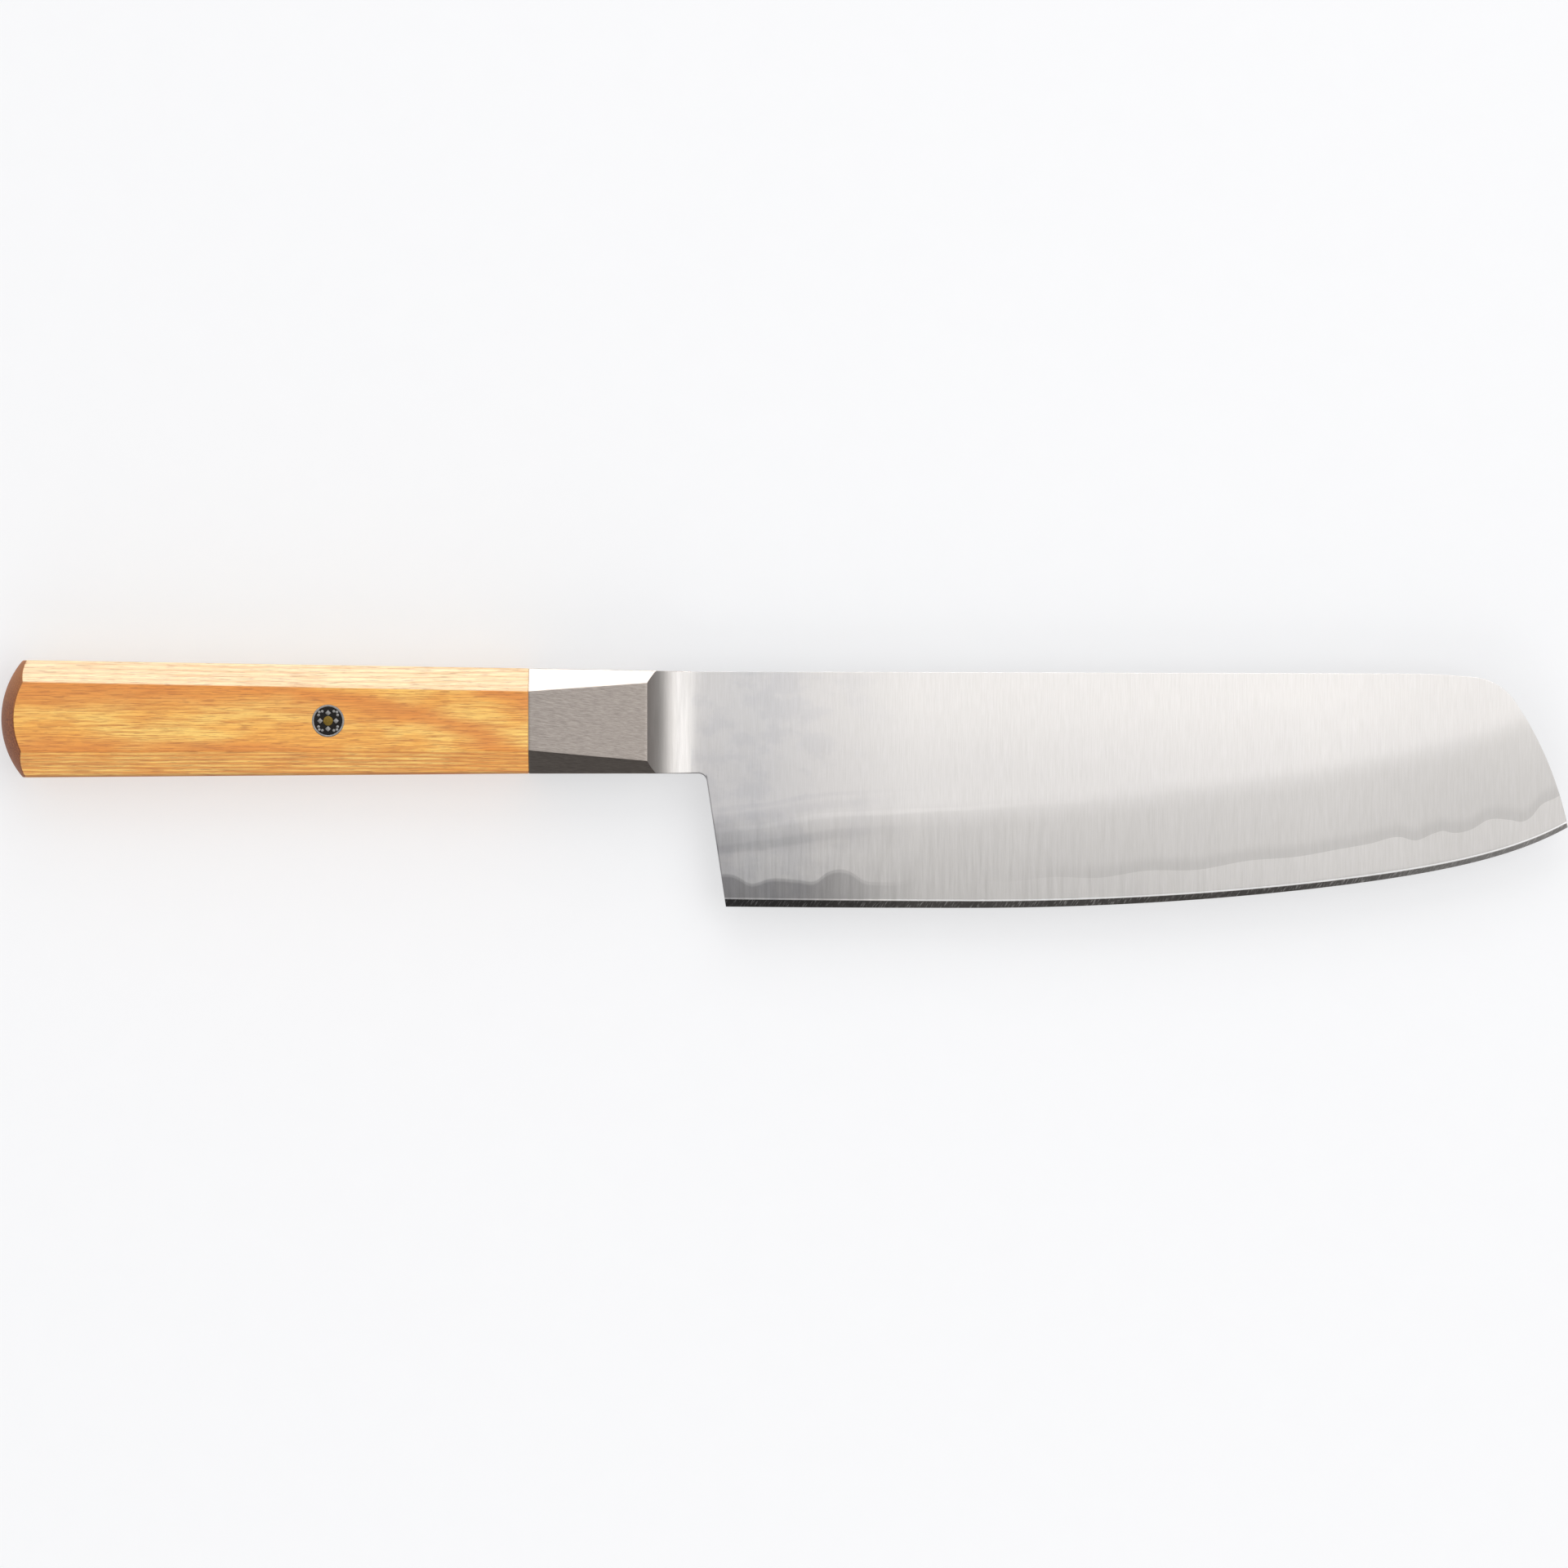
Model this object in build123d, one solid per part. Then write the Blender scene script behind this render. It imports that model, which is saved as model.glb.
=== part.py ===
from build123d import *
import os
from math import atan2, cos, pi, sin, sqrt

# A nakiri: the straight-edged Japanese vegetable knife. The blade is a three-layer plate, a hard steel
# core between two softer claddings. Its root is welded to an octagonal steel bolster, and a stick tang
# runs from the bolster into an octagonal cherry handle, where a mosaic pin crosses it.
#
# Lengths are in millimetres. The knife is drawn lying on its side. X runs from the joint between
# handle and bolster to the tip, Y from the cutting edge to the spine, and Z out of the blade's face.
# At the end it is moved so that the origin is under the middle of the knife, on what it lies on.

# Handle: one octagonal block, a little taller at the butt, with a domed end
handle_length = 103.4        # from the bolster to the crown of the butt
handle_thickness = 18.0      # across the two wide faces
joint_rise = 10.3            # handle axis to the upper flat, at the bolster
joint_drop = 10.3            # handle axis to the lower flat, at the bolster
joint_bevel = 4.5            # width of the 45 degree corner flats, seen from the side
butt_rise = 12.0
butt_drop = 11.1
butt_bevel = 4.8
dome_radius = 17.7
handle_ease = 0.45           # rounding of the handle's long corners
rim_ease = 0.25              # small flat round the dome's rim

# Bolster: the same octagon in steel, thinning towards the blade and ending in a round hollow
bolster_length = 23.2        # from the handle to the shoulder
shoulder_thickness = 13.8    # across the wide faces at the shoulder
neck_rise = 9.7
neck_drop = 10.27
hollow_radius = 11.2         # of the round hollow between shoulder and blade
weld_setback = 1.3           # from the end of the hollow back to the weld between bolster and blade

# Tang: a flat bar seated in the back of the bolster and bedded in resin inside the handle
tang_thickness = 3.0
tang_root_height = 10.0
tang_end_height = 7.0
tang_length = 70.0           # the part inside the handle
tang_seat_depth = 5.0        # the part inside the bolster
tang_end_rounding = 2.5
bedding_gap = 0.6            # resin round the tang, and past its end
mortise_corner = 1.2

# Blade plate and its outline
plate_thickness = 2.0        # at the end of the hollow
tip_plate_thickness = 1.5    # the plate thins steadily towards the tip
core_thickness = 0.6
choil_setback = 2.8          # from the weld to where the neck's underside meets the heel, unrounded
choil_radius = 1.7
heel_lean = 4.0              # how far the heel's lower corner stands forward of its upper end
edge_length = 164.9          # from the heel's lower corner to the tip
plate_ease = 0.2             # small flat along the spine, the nose and the heel
spine_fall = 0.4             # how much lower the spine is at its far end
edge_drop = 36.6             # handle axis to the straight part of the edge
tip_lift = 15.8              # how far the edge sweeps up to the tip
heel_lift = 0.25             # how far it rises again towards the heel
nose_setback = 31.7          # from the tip back to where the spine starts to fall
nose_fall_radius = 131.0
nose_fall_turn = 5.9         # degrees
nose_corner_radius = 11.0
nose_corner_turn = 50.0      # degrees, the front being one more arc down to the tip

# Sharpening: a wide convex grind with a narrow cutting bevel below it
grind_height_heel = 16.5
grind_height_tip = 26.0
bevel_width_heel = 1.5
bevel_width_tip = 1.0
bevel_shoulder_thickness = 0.4
sweep_start_share = 0.29     # the share of the edge that stays nearly straight
sweep_round_share = 0.72     # the round part of the sweep, the rest being the quick turn at the tip
sweep_tip_power = 9.6
grind_start_share = 0.4      # the grind's slope at its upper line, over its mean slope
grind_stations = 21          # evenly spaced slices of the grind
grind_overrun_share = 0.04   # how far the grind runs past heel and tip

# The wavy line where the cladding ends: shares of the edge's length and of this height above the edge
clad_line_height = 7.9
clad_line_shares = [
    (-0.03, 0.66), (0.010, 0.74), (0.029, 0.54), (0.052, 0.66), (0.086, 0.64), (0.106, 0.62),
    (0.121, 0.84), (0.134, 0.91), (0.147, 0.86), (0.163, 0.65), (0.186, 0.60), (0.209, 0.62),
    (0.234, 0.76), (0.254, 0.63), (0.287, 0.70), (0.330, 0.64), (0.390, 0.74), (0.440, 0.68),
    (0.500, 0.80), (0.560, 0.74), (0.620, 0.86), (0.680, 0.84), (0.725, 0.90), (0.765, 0.94),
    (0.801, 0.99), (0.819, 0.84), (0.840, 0.93), (0.852, 0.95), (0.862, 0.86), (0.885, 0.83),
    (0.905, 0.96), (0.932, 0.79), (0.946, 0.65), (0.958, 0.70), (0.966, 0.85), (0.985, 0.89),
    (1.03, 0.86),
]

# Mosaic pin: a tube packed with rods and filled with black resin
pin_setback = 39.1           # from the bolster to the pin
pin_diameter = 6.3
pin_wall = 0.38
pin_hole_clearance = 0.02    # radial, between the tube and the wood
tang_hole_clearance = 0.15   # radial, between the tube and the tang
centre_rod_diameter = 1.9
square_rod_side = 0.8        # the four square rods round the middle one, set on their corners
square_rod_gap = 0.04
square_rod_count = 4
round_rod_diameter = 0.56    # the round rods, in threes on the diagonals near the wall
round_rod_gap = 0.05         # between a rod and the wall, and between the rods of a three
round_rod_spread = 1.04      # between the two inner rods of a three
round_rod_threes = 4

overrun = 3.0                # how far a cutting shape passes the surface that it cuts

# Worked out from the sizes above
half_handle = handle_thickness / 2
half_plate = plate_thickness / 2
half_core = core_thickness / 2
half_shoulder = shoulder_thickness / 2
spine_flat = half_handle - joint_bevel
hollow_depth = half_shoulder - half_plate
hollow_end_x = bolster_length + sqrt(hollow_radius**2 - (hollow_radius - hollow_depth) ** 2)
weld_x = hollow_end_x - weld_setback
choil_x = weld_x + choil_setback
heel_x = choil_x + heel_lean
tip_x = heel_x + edge_length
pin_x = -pin_setback
pin_radius = pin_diameter / 2
pin_bore = pin_radius - pin_wall


def share_of(start, end, share):
    """The value that lies a share of the way from start to end."""
    return start + (end - start) * share


def across(x):
    """The plane square to the knife's length, whose own axes are Y and Z."""
    return Plane(origin=(x, 0, 0), x_dir=(0, 1, 0), z_dir=(1, 0, 0))


def octagon(x, rise, drop, half_thickness, bevel):
    """The corners of an octagonal section with 45 degree corner flats, in order round it."""
    flat = half_thickness - bevel
    upper = [(rise - bevel, half_thickness), (rise, flat), (rise, -flat), (rise - bevel, -half_thickness)]
    lower = [(bevel - drop, -half_thickness), (-drop, -flat), (-drop, flat), (bevel - drop, half_thickness)]
    return [(x, y, z) for y, z in upper + lower]


def flat_sided(start, end):
    """A solid with flat sides between two sections whose corners are in the same order."""
    strips = zip(start, start[1:] + start[:1], end[1:] + end[:1], end)
    sides = [make_face(Polyline(*corners, close=True)) for corners in strips]
    caps = [make_face(Polyline(*corners, close=True)) for corners in (start, end)]
    return Solid(Shell(sides + caps))


def long_edges(shape):
    """The straight edges that run from one end of a block to the other."""
    span = shape.bounding_box().size.X
    return [e for e in shape.edges().filter_by(GeomType.LINE) if e.bounding_box().size.X > span / 2]


# Handle

def mortise():
    """The slot in the handle that takes the tang and its bedding."""
    height = tang_root_height + 2 * bedding_gap
    thickness = tang_thickness + 2 * bedding_gap
    slot = across(0) * RectangleRounded(height, thickness, mortise_corner)
    return extrude(slot, -(tang_length + bedding_gap))


def pin_hole(clearance):
    """The hole for the mosaic pin, through everything that the pin crosses."""
    return Pos(pin_x, 0, 0) * Cylinder(pin_radius + clearance, handle_thickness + 2 * overrun)


def domed_rod():
    """A round rod along the handle's middle, wider than the handle, whose end is the dome of the butt."""
    dome_x = dome_radius - handle_length
    profile = make_face(
        [
            CenterArc((dome_x, 0), dome_radius, 90, 90),
            Polyline((-handle_length, 0), (overrun, 0), (overrun, dome_radius), (dome_x, dome_radius)),
        ]
    )
    return Pos(0, (butt_rise - butt_drop) / 2, 0) * revolve(profile, Axis.X)


def make_handle():
    """The octagonal block with its domed butt, mortise and pin hole."""
    block = flat_sided(
        octagon(-handle_length, butt_rise, butt_drop, half_handle, butt_bevel),
        octagon(0, joint_rise, joint_drop, half_handle, joint_bevel),
    )
    block = fillet(long_edges(block), handle_ease) & domed_rod()
    near_butt = [e for e in block.edges() if e.center().X < dome_radius - handle_length]
    rim = [e for e in near_butt if e.bounding_box().size.X < dome_radius / 2]
    return chamfer(rim, rim_ease) - mortise() - pin_hole(pin_hole_clearance)


# Bolster and tang

def plate_z(x):
    """Half the plate's thickness, which falls steadily from the hollow to the tip."""
    return share_of(half_plate, tip_plate_thickness / 2, (x - hollow_end_x) / (tip_x - hollow_end_x))


def hollow_cut(side):
    """What is ground away above the round hollow and the blade's flat. side is 1 or -1."""
    centre_z = half_plate + hollow_radius
    turn = atan2(hollow_end_x - bolster_length, centre_z - half_shoulder) / 2
    middle = (hollow_end_x - hollow_radius * sin(turn), centre_z - hollow_radius * cos(turn))
    top = half_handle + overrun
    end = tip_x + overrun
    shoulder, hollow_end = (bolster_length, half_shoulder), (hollow_end_x, half_plate)
    ground = [
        ThreePointArc(shoulder, middle, hollow_end),
        Polyline(hollow_end, (end, plate_z(end)), (end, top), (bolster_length, top), shoulder),
    ]
    profile = Plane.XZ * make_face(ground)
    height = edge_drop + butt_rise + overrun
    cut = extrude(profile, height, both=True)
    return cut if side > 0 else mirror(cut, Plane.XY)


def tang_seat():
    """The slot in the bolster's back that holds the root of the tang."""
    return Pos(tang_seat_depth / 2, 0, 0) * Box(tang_seat_depth, tang_root_height, tang_thickness)


def make_bolster():
    """The tapered octagon, hollowed on both sides down to the blade root."""
    thin = (half_handle - half_shoulder) * weld_x / bolster_length
    block = flat_sided(
        octagon(0, joint_rise, joint_drop, half_handle, joint_bevel),
        octagon(weld_x, neck_rise, neck_drop, half_handle - thin, half_handle - thin - spine_flat),
    )
    block = fillet(long_edges(block), handle_ease) - hollow_cut(1) - hollow_cut(-1)
    curved = block.edges().filter_by(Axis.Y, reverse=True).filter_by(Axis.Z, reverse=True)
    rims = [e for e in curved if e.center().X > hollow_end_x - hollow_radius / 2]
    return chamfer(rims, plate_ease) - tang_seat()


def make_tang():
    """The stick tang: full height at its root, narrower at its rounded end."""
    half_root, half_end = tang_root_height / 2, tang_end_height / 2
    outline = make_face(
        Polyline(
            (tang_seat_depth, half_root), (0, half_root), (-tang_length, half_end),
            (-tang_length, -half_end), (0, -half_root), (tang_seat_depth, -half_root),
            close=True,
        )
    )
    ends = [v for v in outline.vertices() if v.X < -tang_length / 2]
    bar = extrude(fillet(ends, tang_end_rounding), tang_thickness / 2, both=True)
    return bar - pin_hole(tang_hole_clearance)


def make_bedding(tang):
    """The resin that fills the mortise round the tang, and the gap between the tang and the pin."""
    return mortise() - tang - pin_hole(0)


# Blade

def edge_y(x):
    """The cutting edge: nearly straight from the heel, then a sweep with a quick turn at the tip."""
    sweep_x = share_of(heel_x, tip_x, sweep_start_share)
    if x < sweep_x:
        return heel_lift * ((sweep_x - x) / (sweep_x - heel_x)) ** 2 - edge_drop
    along = (x - sweep_x) / (tip_x - sweep_x)
    rise = sweep_round_share * along**2 + (1 - sweep_round_share) * along**sweep_tip_power
    return tip_lift * rise - edge_drop


def blade_outline():
    """Spine, nose and heel of the blade. Below the edge it overruns, because the grind makes the edge."""
    root = Vector(weld_x, neck_rise)
    spine = Line(root, (tip_x - nose_setback, neck_rise - spine_fall))
    fall = JernArc(spine @ 1, spine % 1, nose_fall_radius, -nose_fall_turn)
    corner = JernArc(fall @ 1, fall % 1, nose_corner_radius, -nose_corner_turn)
    front = TangentArc(corner @ 1, (tip_x, edge_y(tip_x)), tangent=corner % 1)
    heel_slope = heel_lean / (edge_drop - neck_drop)
    foot = Vector(heel_x + heel_slope * overrun / 2, -edge_drop - overrun / 2)
    below = Polyline(
        front @ 1, front @ 1 + front % 1 * overrun, (tip_x, foot.Y), foot,
        (choil_x, -neck_drop), (weld_x, -neck_drop), root,
    )
    outline = make_face([spine, fall, corner, front, below])
    return fillet(outline.vertices().sort_by_distance((choil_x, -neck_drop))[0], choil_radius)


def grind_section(x):
    """A slice through what the grinding removes on the upper side of the blade."""
    share = (x - heel_x) / edge_length
    edge = edge_y(x)
    line_y = edge + share_of(grind_height_heel, grind_height_tip, share)
    bevel_y = edge + share_of(bevel_width_heel, bevel_width_tip, share)
    bevel_z = bevel_shoulder_thickness / 2
    slope = (plate_z(x) - bevel_z) / (line_y - bevel_y)
    start = slope * grind_start_share
    above = Vector(line_y + overrun, plate_z(x) + start * overrun)
    line, bevel = Vector(line_y, plate_z(x)), Vector(bevel_y, bevel_z)
    bottom = -edge_drop - overrun
    past_edge = Vector(bottom, bevel_z * (bottom - edge) / (bevel_y - edge))
    outside = half_handle
    convex = TangentArc(line, bevel, tangent=(-1, -start))
    around = Polyline(bevel, past_edge, (bottom, outside), (line_y + overrun, outside), above, line)
    return across(x) * make_face([convex, around])


def grind_cut():
    """The grinding of the upper side, from the heel to the tip."""
    past = edge_length * grind_overrun_share
    start, end = heel_x - past, tip_x + past
    return loft([grind_section(share_of(start, end, n / (grind_stations - 1))) for n in range(grind_stations)])


def clad_zone():
    """The space of the upper cladding: above the core, and above the wavy line where the core shows."""
    line = [
        (x, edge_y(x) + share * clad_line_height)
        for x, share in ((share_of(heel_x, tip_x, s), h) for s, h in clad_line_shares)
    ]
    top = butt_rise + overrun
    back = weld_x - overrun
    wave = Spline(*line)
    rest = Polyline(line[-1], (line[-1][0], top), (back, top), (back, line[0][1]), line[0])
    return extrude(Pos(0, 0, half_core) * make_face([wave, rest]), half_handle)


def eased_plate():
    """The upper half of the plate before grinding, its sharp rims broken by a small flat."""
    plate = extrude(blade_outline(), half_handle) - hollow_cut(1)
    rims = plate.edges().filter_by(Axis.Y, reverse=True).filter_by(Axis.Z, reverse=True)
    return chamfer([e for e in rims if e.center().Z > half_core], plate_ease)


def make_blade():
    """The ground plate, parted into its core and the two claddings: the upper half and its mirror image."""
    half = eased_plate() - grind_cut()
    cladding = half & clad_zone()
    core = half - clad_zone()
    return core + mirror(core, Plane.XY), cladding, mirror(cladding, Plane.XY)


# Mosaic pin

def rod(x, y, section):
    """A rod of the pin, as long as the handle is thick."""
    return extrude(Pos(pin_x + x, y, -half_handle) * section, handle_thickness)


def square_rods():
    """Four square rods on their corners, round the middle rod."""
    ring = centre_rod_diameter / 2 + square_rod_gap + square_rod_side / sqrt(2)
    turns = [2 * pi * n / square_rod_count for n in range(square_rod_count)]
    section = Rectangle(square_rod_side, square_rod_side, rotation=45)
    return [rod(ring * cos(a), ring * sin(a), section) for a in turns]


def round_rods():
    """Round rods in threes on the diagonals: one against the wall, two side by side inside it."""
    outer = pin_bore - round_rod_gap - round_rod_diameter / 2
    step = round_rod_diameter + round_rod_gap
    side = round_rod_spread / 2
    inner = outer - sqrt(step**2 - side**2)
    section = Circle(round_rod_diameter / 2)
    made = []
    for n in range(round_rod_threes):
        a = 2 * pi * (n + 0.5) / round_rod_threes
        for out, aside in ((outer, 0), (inner, side), (inner, -side)):
            made.append(rod(out * cos(a) - aside * sin(a), out * sin(a) + aside * cos(a), section))
    return made


def make_pin():
    """The tube, its rods and the resin between them, as a dictionary of nodes."""
    tube = rod(0, 0, Circle(pin_radius) - Circle(pin_bore))
    centre = rod(0, 0, Circle(centre_rod_diameter / 2))
    squares, rounds = square_rods(), round_rods()
    resin = rod(0, 0, Circle(pin_bore))
    for piece in [centre, *squares, *rounds]:
        resin -= piece
    return {
        "pin_tube": tube,
        "pin_centre_rod": centre,
        "pin_square_rods": Compound(squares),
        "pin_round_rods": Compound(rounds),
        "pin_resin": resin,
    }


tang = make_tang()
blade_core, cladding_upper, cladding_lower = make_blade()
nodes = {
    "handle": make_handle(),
    "bolster": make_bolster(),
    "tang": tang,
    "tang_bedding": make_bedding(tang),
    "blade_core": blade_core,
    "cladding_upper": cladding_upper,
    "cladding_lower": cladding_lower,
    **make_pin(),
}

whole = Compound(list(nodes.values())).bounding_box()
place = Pos(-whole.center().X, -whole.center().Y, -whole.min.Z)
print("moved by", place.position, "overall", whole.size)
os.makedirs("parts", exist_ok=True)
for name, shape in nodes.items():
    placed = place * shape
    print(name, "solids", len(placed.solids()), "volume", round(placed.volume, 1))
    export_step(placed, f"parts/{name}.step")
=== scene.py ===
# %% [markdown]
# # A nakiri knife in Blender
#
# The knife has a three-layer blade, an octagonal steel bolster, an octagonal cherry handle and a mosaic
# pin. The CAD model gives every size. Here each visible part becomes a fine surface with a real finish.
# All the shapes below are worked out in millimetres, as they are on the CAD drawing, and moved to their
# place in metres when the mesh is made.

# %% Load the CAD frame
from math import asin, atan, atan2, cos, pi, radians, sin, sqrt, tan

import bmesh
import bpy
import numpy as np
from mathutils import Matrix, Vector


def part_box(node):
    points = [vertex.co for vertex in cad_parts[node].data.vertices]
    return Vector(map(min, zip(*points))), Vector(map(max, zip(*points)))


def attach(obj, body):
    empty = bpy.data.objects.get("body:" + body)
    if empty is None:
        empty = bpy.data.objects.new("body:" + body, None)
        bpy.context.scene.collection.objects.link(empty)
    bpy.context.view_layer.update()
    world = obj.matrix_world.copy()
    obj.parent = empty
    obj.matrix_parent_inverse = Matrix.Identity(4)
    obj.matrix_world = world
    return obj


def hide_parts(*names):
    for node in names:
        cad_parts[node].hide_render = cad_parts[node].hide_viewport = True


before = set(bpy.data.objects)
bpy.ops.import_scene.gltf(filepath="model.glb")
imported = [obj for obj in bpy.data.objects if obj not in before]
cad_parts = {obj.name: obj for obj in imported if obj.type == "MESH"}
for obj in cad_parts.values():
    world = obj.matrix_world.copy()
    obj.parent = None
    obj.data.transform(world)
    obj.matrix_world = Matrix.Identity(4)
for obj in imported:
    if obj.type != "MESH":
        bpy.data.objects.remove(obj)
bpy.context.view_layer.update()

handle_low, handle_high = (np.array(corner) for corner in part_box("handle"))
pin_low, pin_high = (np.array(corner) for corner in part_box("pin_tube"))
# The drawing's zero point: the joint between handle and bolster, on the middle line of the knife
zero = np.array([handle_high[0], (pin_low[1] + pin_high[1]) / 2, (handle_low[2] + handle_high[2]) / 2])
print("zero point of the drawing, in metres:", zero.round(5))

# %% [markdown]
# ## The camera
#
# The knife was photographed from straight above with a long lens, so that nothing leans. A long lens
# far away does the same here: the whole frame is 307.2 mm wide where the knife lies.

# %% Camera


def in_scene(name, data):
    """A new object in the scene, made of this data."""
    piece = bpy.data.objects.new(name, data)
    bpy.context.scene.collection.objects.link(piece)
    return piece


frame_width = 0.3072
camera_distance = 2.6
sensor_width = 36.0
frame_middle = zero + np.array([0.04992, -0.01232, 0.0])

camera_data = bpy.data.cameras.new("camera")
camera_data.sensor_width = sensor_width
camera_data.lens = sensor_width * camera_distance / frame_width
camera = in_scene("camera", camera_data)
camera.location = frame_middle + np.array([0.0, 0.0, camera_distance])
bpy.context.scene.camera = camera
bpy.context.scene.view_settings.view_transform = "Standard"
print("lens", round(camera_data.lens, 1), "mm")

# %% [markdown]
# ## Nodes in short
#
# The world and the materials are made of nodes, and a few kinds come again and again. Each function here
# adds one of them and returns its output, so that a formula reads in the order in which it is thought.

# %% Node helpers


def fill(node, inputs):
    """Fill a node's inputs with values, or with links from other sockets."""
    for name, value in inputs.items():
        if isinstance(value, bpy.types.NodeSocket):
            node.id_data.links.new(value, node.inputs[name])
        else:
            node.inputs[name].default_value = value


def add(tree, kind, inputs=None, **settings):
    """Add a node, set its properties, then fill its inputs."""
    node = tree.nodes.new(kind)
    for name, value in settings.items():
        setattr(node, name, value)
    fill(node, inputs or {})
    return node


def follow(kind, inputs, **settings):
    """Add a node to the tree that its inputs come from."""
    sockets = [value for value in inputs.values() if isinstance(value, bpy.types.NodeSocket)]
    return add(sockets[0].id_data, kind, inputs, **settings)


def math(operation, a, b=0.0, c=0.0):
    """One Math node, given by its operation and its inputs."""
    return follow("ShaderNodeMath", {0: a, 1: b, 2: c}, operation=operation).outputs[0]


def ramp(value, start, end, low=0.0, high=1.0):
    """A soft step: from low to high while the value goes from start to end."""
    inputs = {"Value": value, "From Min": start, "From Max": end, "To Min": low, "To Max": high}
    return follow("ShaderNodeMapRange", inputs, interpolation_type="SMOOTHSTEP").outputs[0]


def fade(value, start, end, left=0.0):
    """A soft step down, from 1 to what is left, while the value goes from start to end."""
    return ramp(value, start, end, 1.0, left)


def times(a, b):
    """One value multiplied by another, such as an effect by the mask that limits it."""
    return math("MULTIPLY", a, b)


def between(share, low, high):
    """The number that lies a share of the way from low to high."""
    return follow("ShaderNodeMix", {"Factor": share, "A": low, "B": high}).outputs[0]


def blend(share, under, over, kind="MIX"):
    """Lay one colour over another by a share, or multiply it in."""
    inputs = {"Factor": share, "A": under, "B": over}
    return follow("ShaderNodeMix", inputs, data_type="RGBA", blend_type=kind).outputs[2]


# %% [markdown]
# ## Light
#
# Polished and brushed steel has hardly a colour of its own. It shows what stands round it. So the studio
# matters more than the lamps: a bright, soft ceiling that ends a little in front of the knife, grey walls,
# a low bright strip behind the knife and a low dark one in front. So the bevels that lean to the back turn
# white, and those that lean to the front turn dark, and from any side the blade mirrors a plain wall. The
# world does this with soft steps in the direction of each ray. Diffuse light gets an even level.

# %% World
strip_level, dark_share, left_level, even_level, seen_level = 12.0, 0.95, 0.5, 0.70, 0.95
world = bpy.data.worlds.new("studio")
bpy.context.scene.world = world
world.use_nodes = True
tree = world.node_tree
tree.nodes.clear()
coords = add(tree, "ShaderNodeTexCoord")
direction = follow("ShaderNodeSeparateXYZ", {0: coords.outputs["Generated"]})
across, back, up = (direction.outputs[axis] for axis in "XYZ")
ceiling = times(ramp(back, -0.30, -0.15, 0.03, 1.0), ramp(back, -0.08, 0.01, 0.42, 1.02))
walls = times(ramp(back, -0.6, 0.0, 0.6, 1.0), ramp(up, 0.0, 0.8, 0.3, 1.0))
room = between(ramp(up, 0.80, 0.93), walls, ceiling)
bright_strip = times(fade(up, 0.04, 0.14), ramp(back, 0.6, 0.9))
dark_strip = times(fade(up, 0.1, 0.3), fade(back, -0.9, -0.6))
room = times(room, math("MULTIPLY_ADD", dark_strip, -dark_share, 1.0))
room = math("ADD", room, times(bright_strip, strip_level))
room = math("ADD", room, ramp(across, -0.5, -0.95, 0.0, left_level))
path = add(tree, "ShaderNodeLightPath")
mirrored = math("MAXIMUM", path.outputs["Is Glossy Ray"], path.outputs["Is Transmission Ray"])
strength = between(mirrored, even_level, room)
strength = between(path.outputs["Is Camera Ray"], strength, seen_level)
background = follow("ShaderNodeBackground", {"Color": (1.0, 0.995, 0.99, 1.0), "Strength": strength})
follow("ShaderNodeOutputWorld", {"Surface": background.outputs[0]})

# %% [markdown]
# Three big lamps: one behind the knife and a higher one on the right give soft shadows, and a low one in
# front lightens them. The steel doesn't mirror that one, so it leaves no highlight.

# %% Lamps


def lamp(name, place, size, power, mirrored=True):
    """A square area lamp that faces the middle of the knife. Without mirrored it leaves no highlight."""
    data = bpy.data.lights.new(name, "AREA")
    data.size = size
    data.energy = power
    piece = in_scene(name, data)
    piece.location = place
    piece.visible_glossy = mirrored
    aim = frame_middle - np.array(place)
    tilt, turn = atan2(sqrt(aim[0] ** 2 + aim[1] ** 2), -aim[2]), atan2(aim[0], -aim[1]) + pi
    piece.rotation_euler = (tilt, 0.0, turn)


lamp("lamp_back", (0.05, 0.85, 0.75), 0.8, 2.8)
lamp("lamp_right", (0.72, 0.05, 1.15), 1.0, 3.2)
lamp("lamp_front", (-0.1, -0.9, 0.55), 0.8, 2.2, mirrored=False)

# %% [markdown]
# ## Floor
#
# A plain pale sheet, large enough to fill the view from any side. What looks at it sees a share of plain
# white over its own shade, as on a sheet lit for a white background, so the shadows stay but are faint.

# %% Floor
floor_reach, floor_level = 3.0, -0.0002
glow_level, glow_share = 0.97, 0.45
floor_mesh = bpy.data.meshes.new("floor")
corners = [(-1, -1), (1, -1), (1, 1), (-1, 1)]
corners = [(x * floor_reach, y * floor_reach, floor_level) for x, y in corners]
floor_mesh.from_pydata(corners, [], [(0, 1, 2, 3)])
floor = in_scene("floor", floor_mesh)


def new_material(name):
    """A material that starts with a Principled BSDF and its output, and nothing else."""
    material = bpy.data.materials.new(name)
    material.use_nodes = True
    return material, material.node_tree, material.node_tree.nodes["Principled BSDF"]


def seen_colour(red, green, blue):
    """A colour given as it looks on a screen, from 0 to 255, made linear for the shaders."""
    shares = np.array([red, green, blue]) / 255.0
    return (*np.where(shares > 0.04045, ((shares + 0.055) / 1.055) ** 2.4, shares / 12.92), 1.0)


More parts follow.
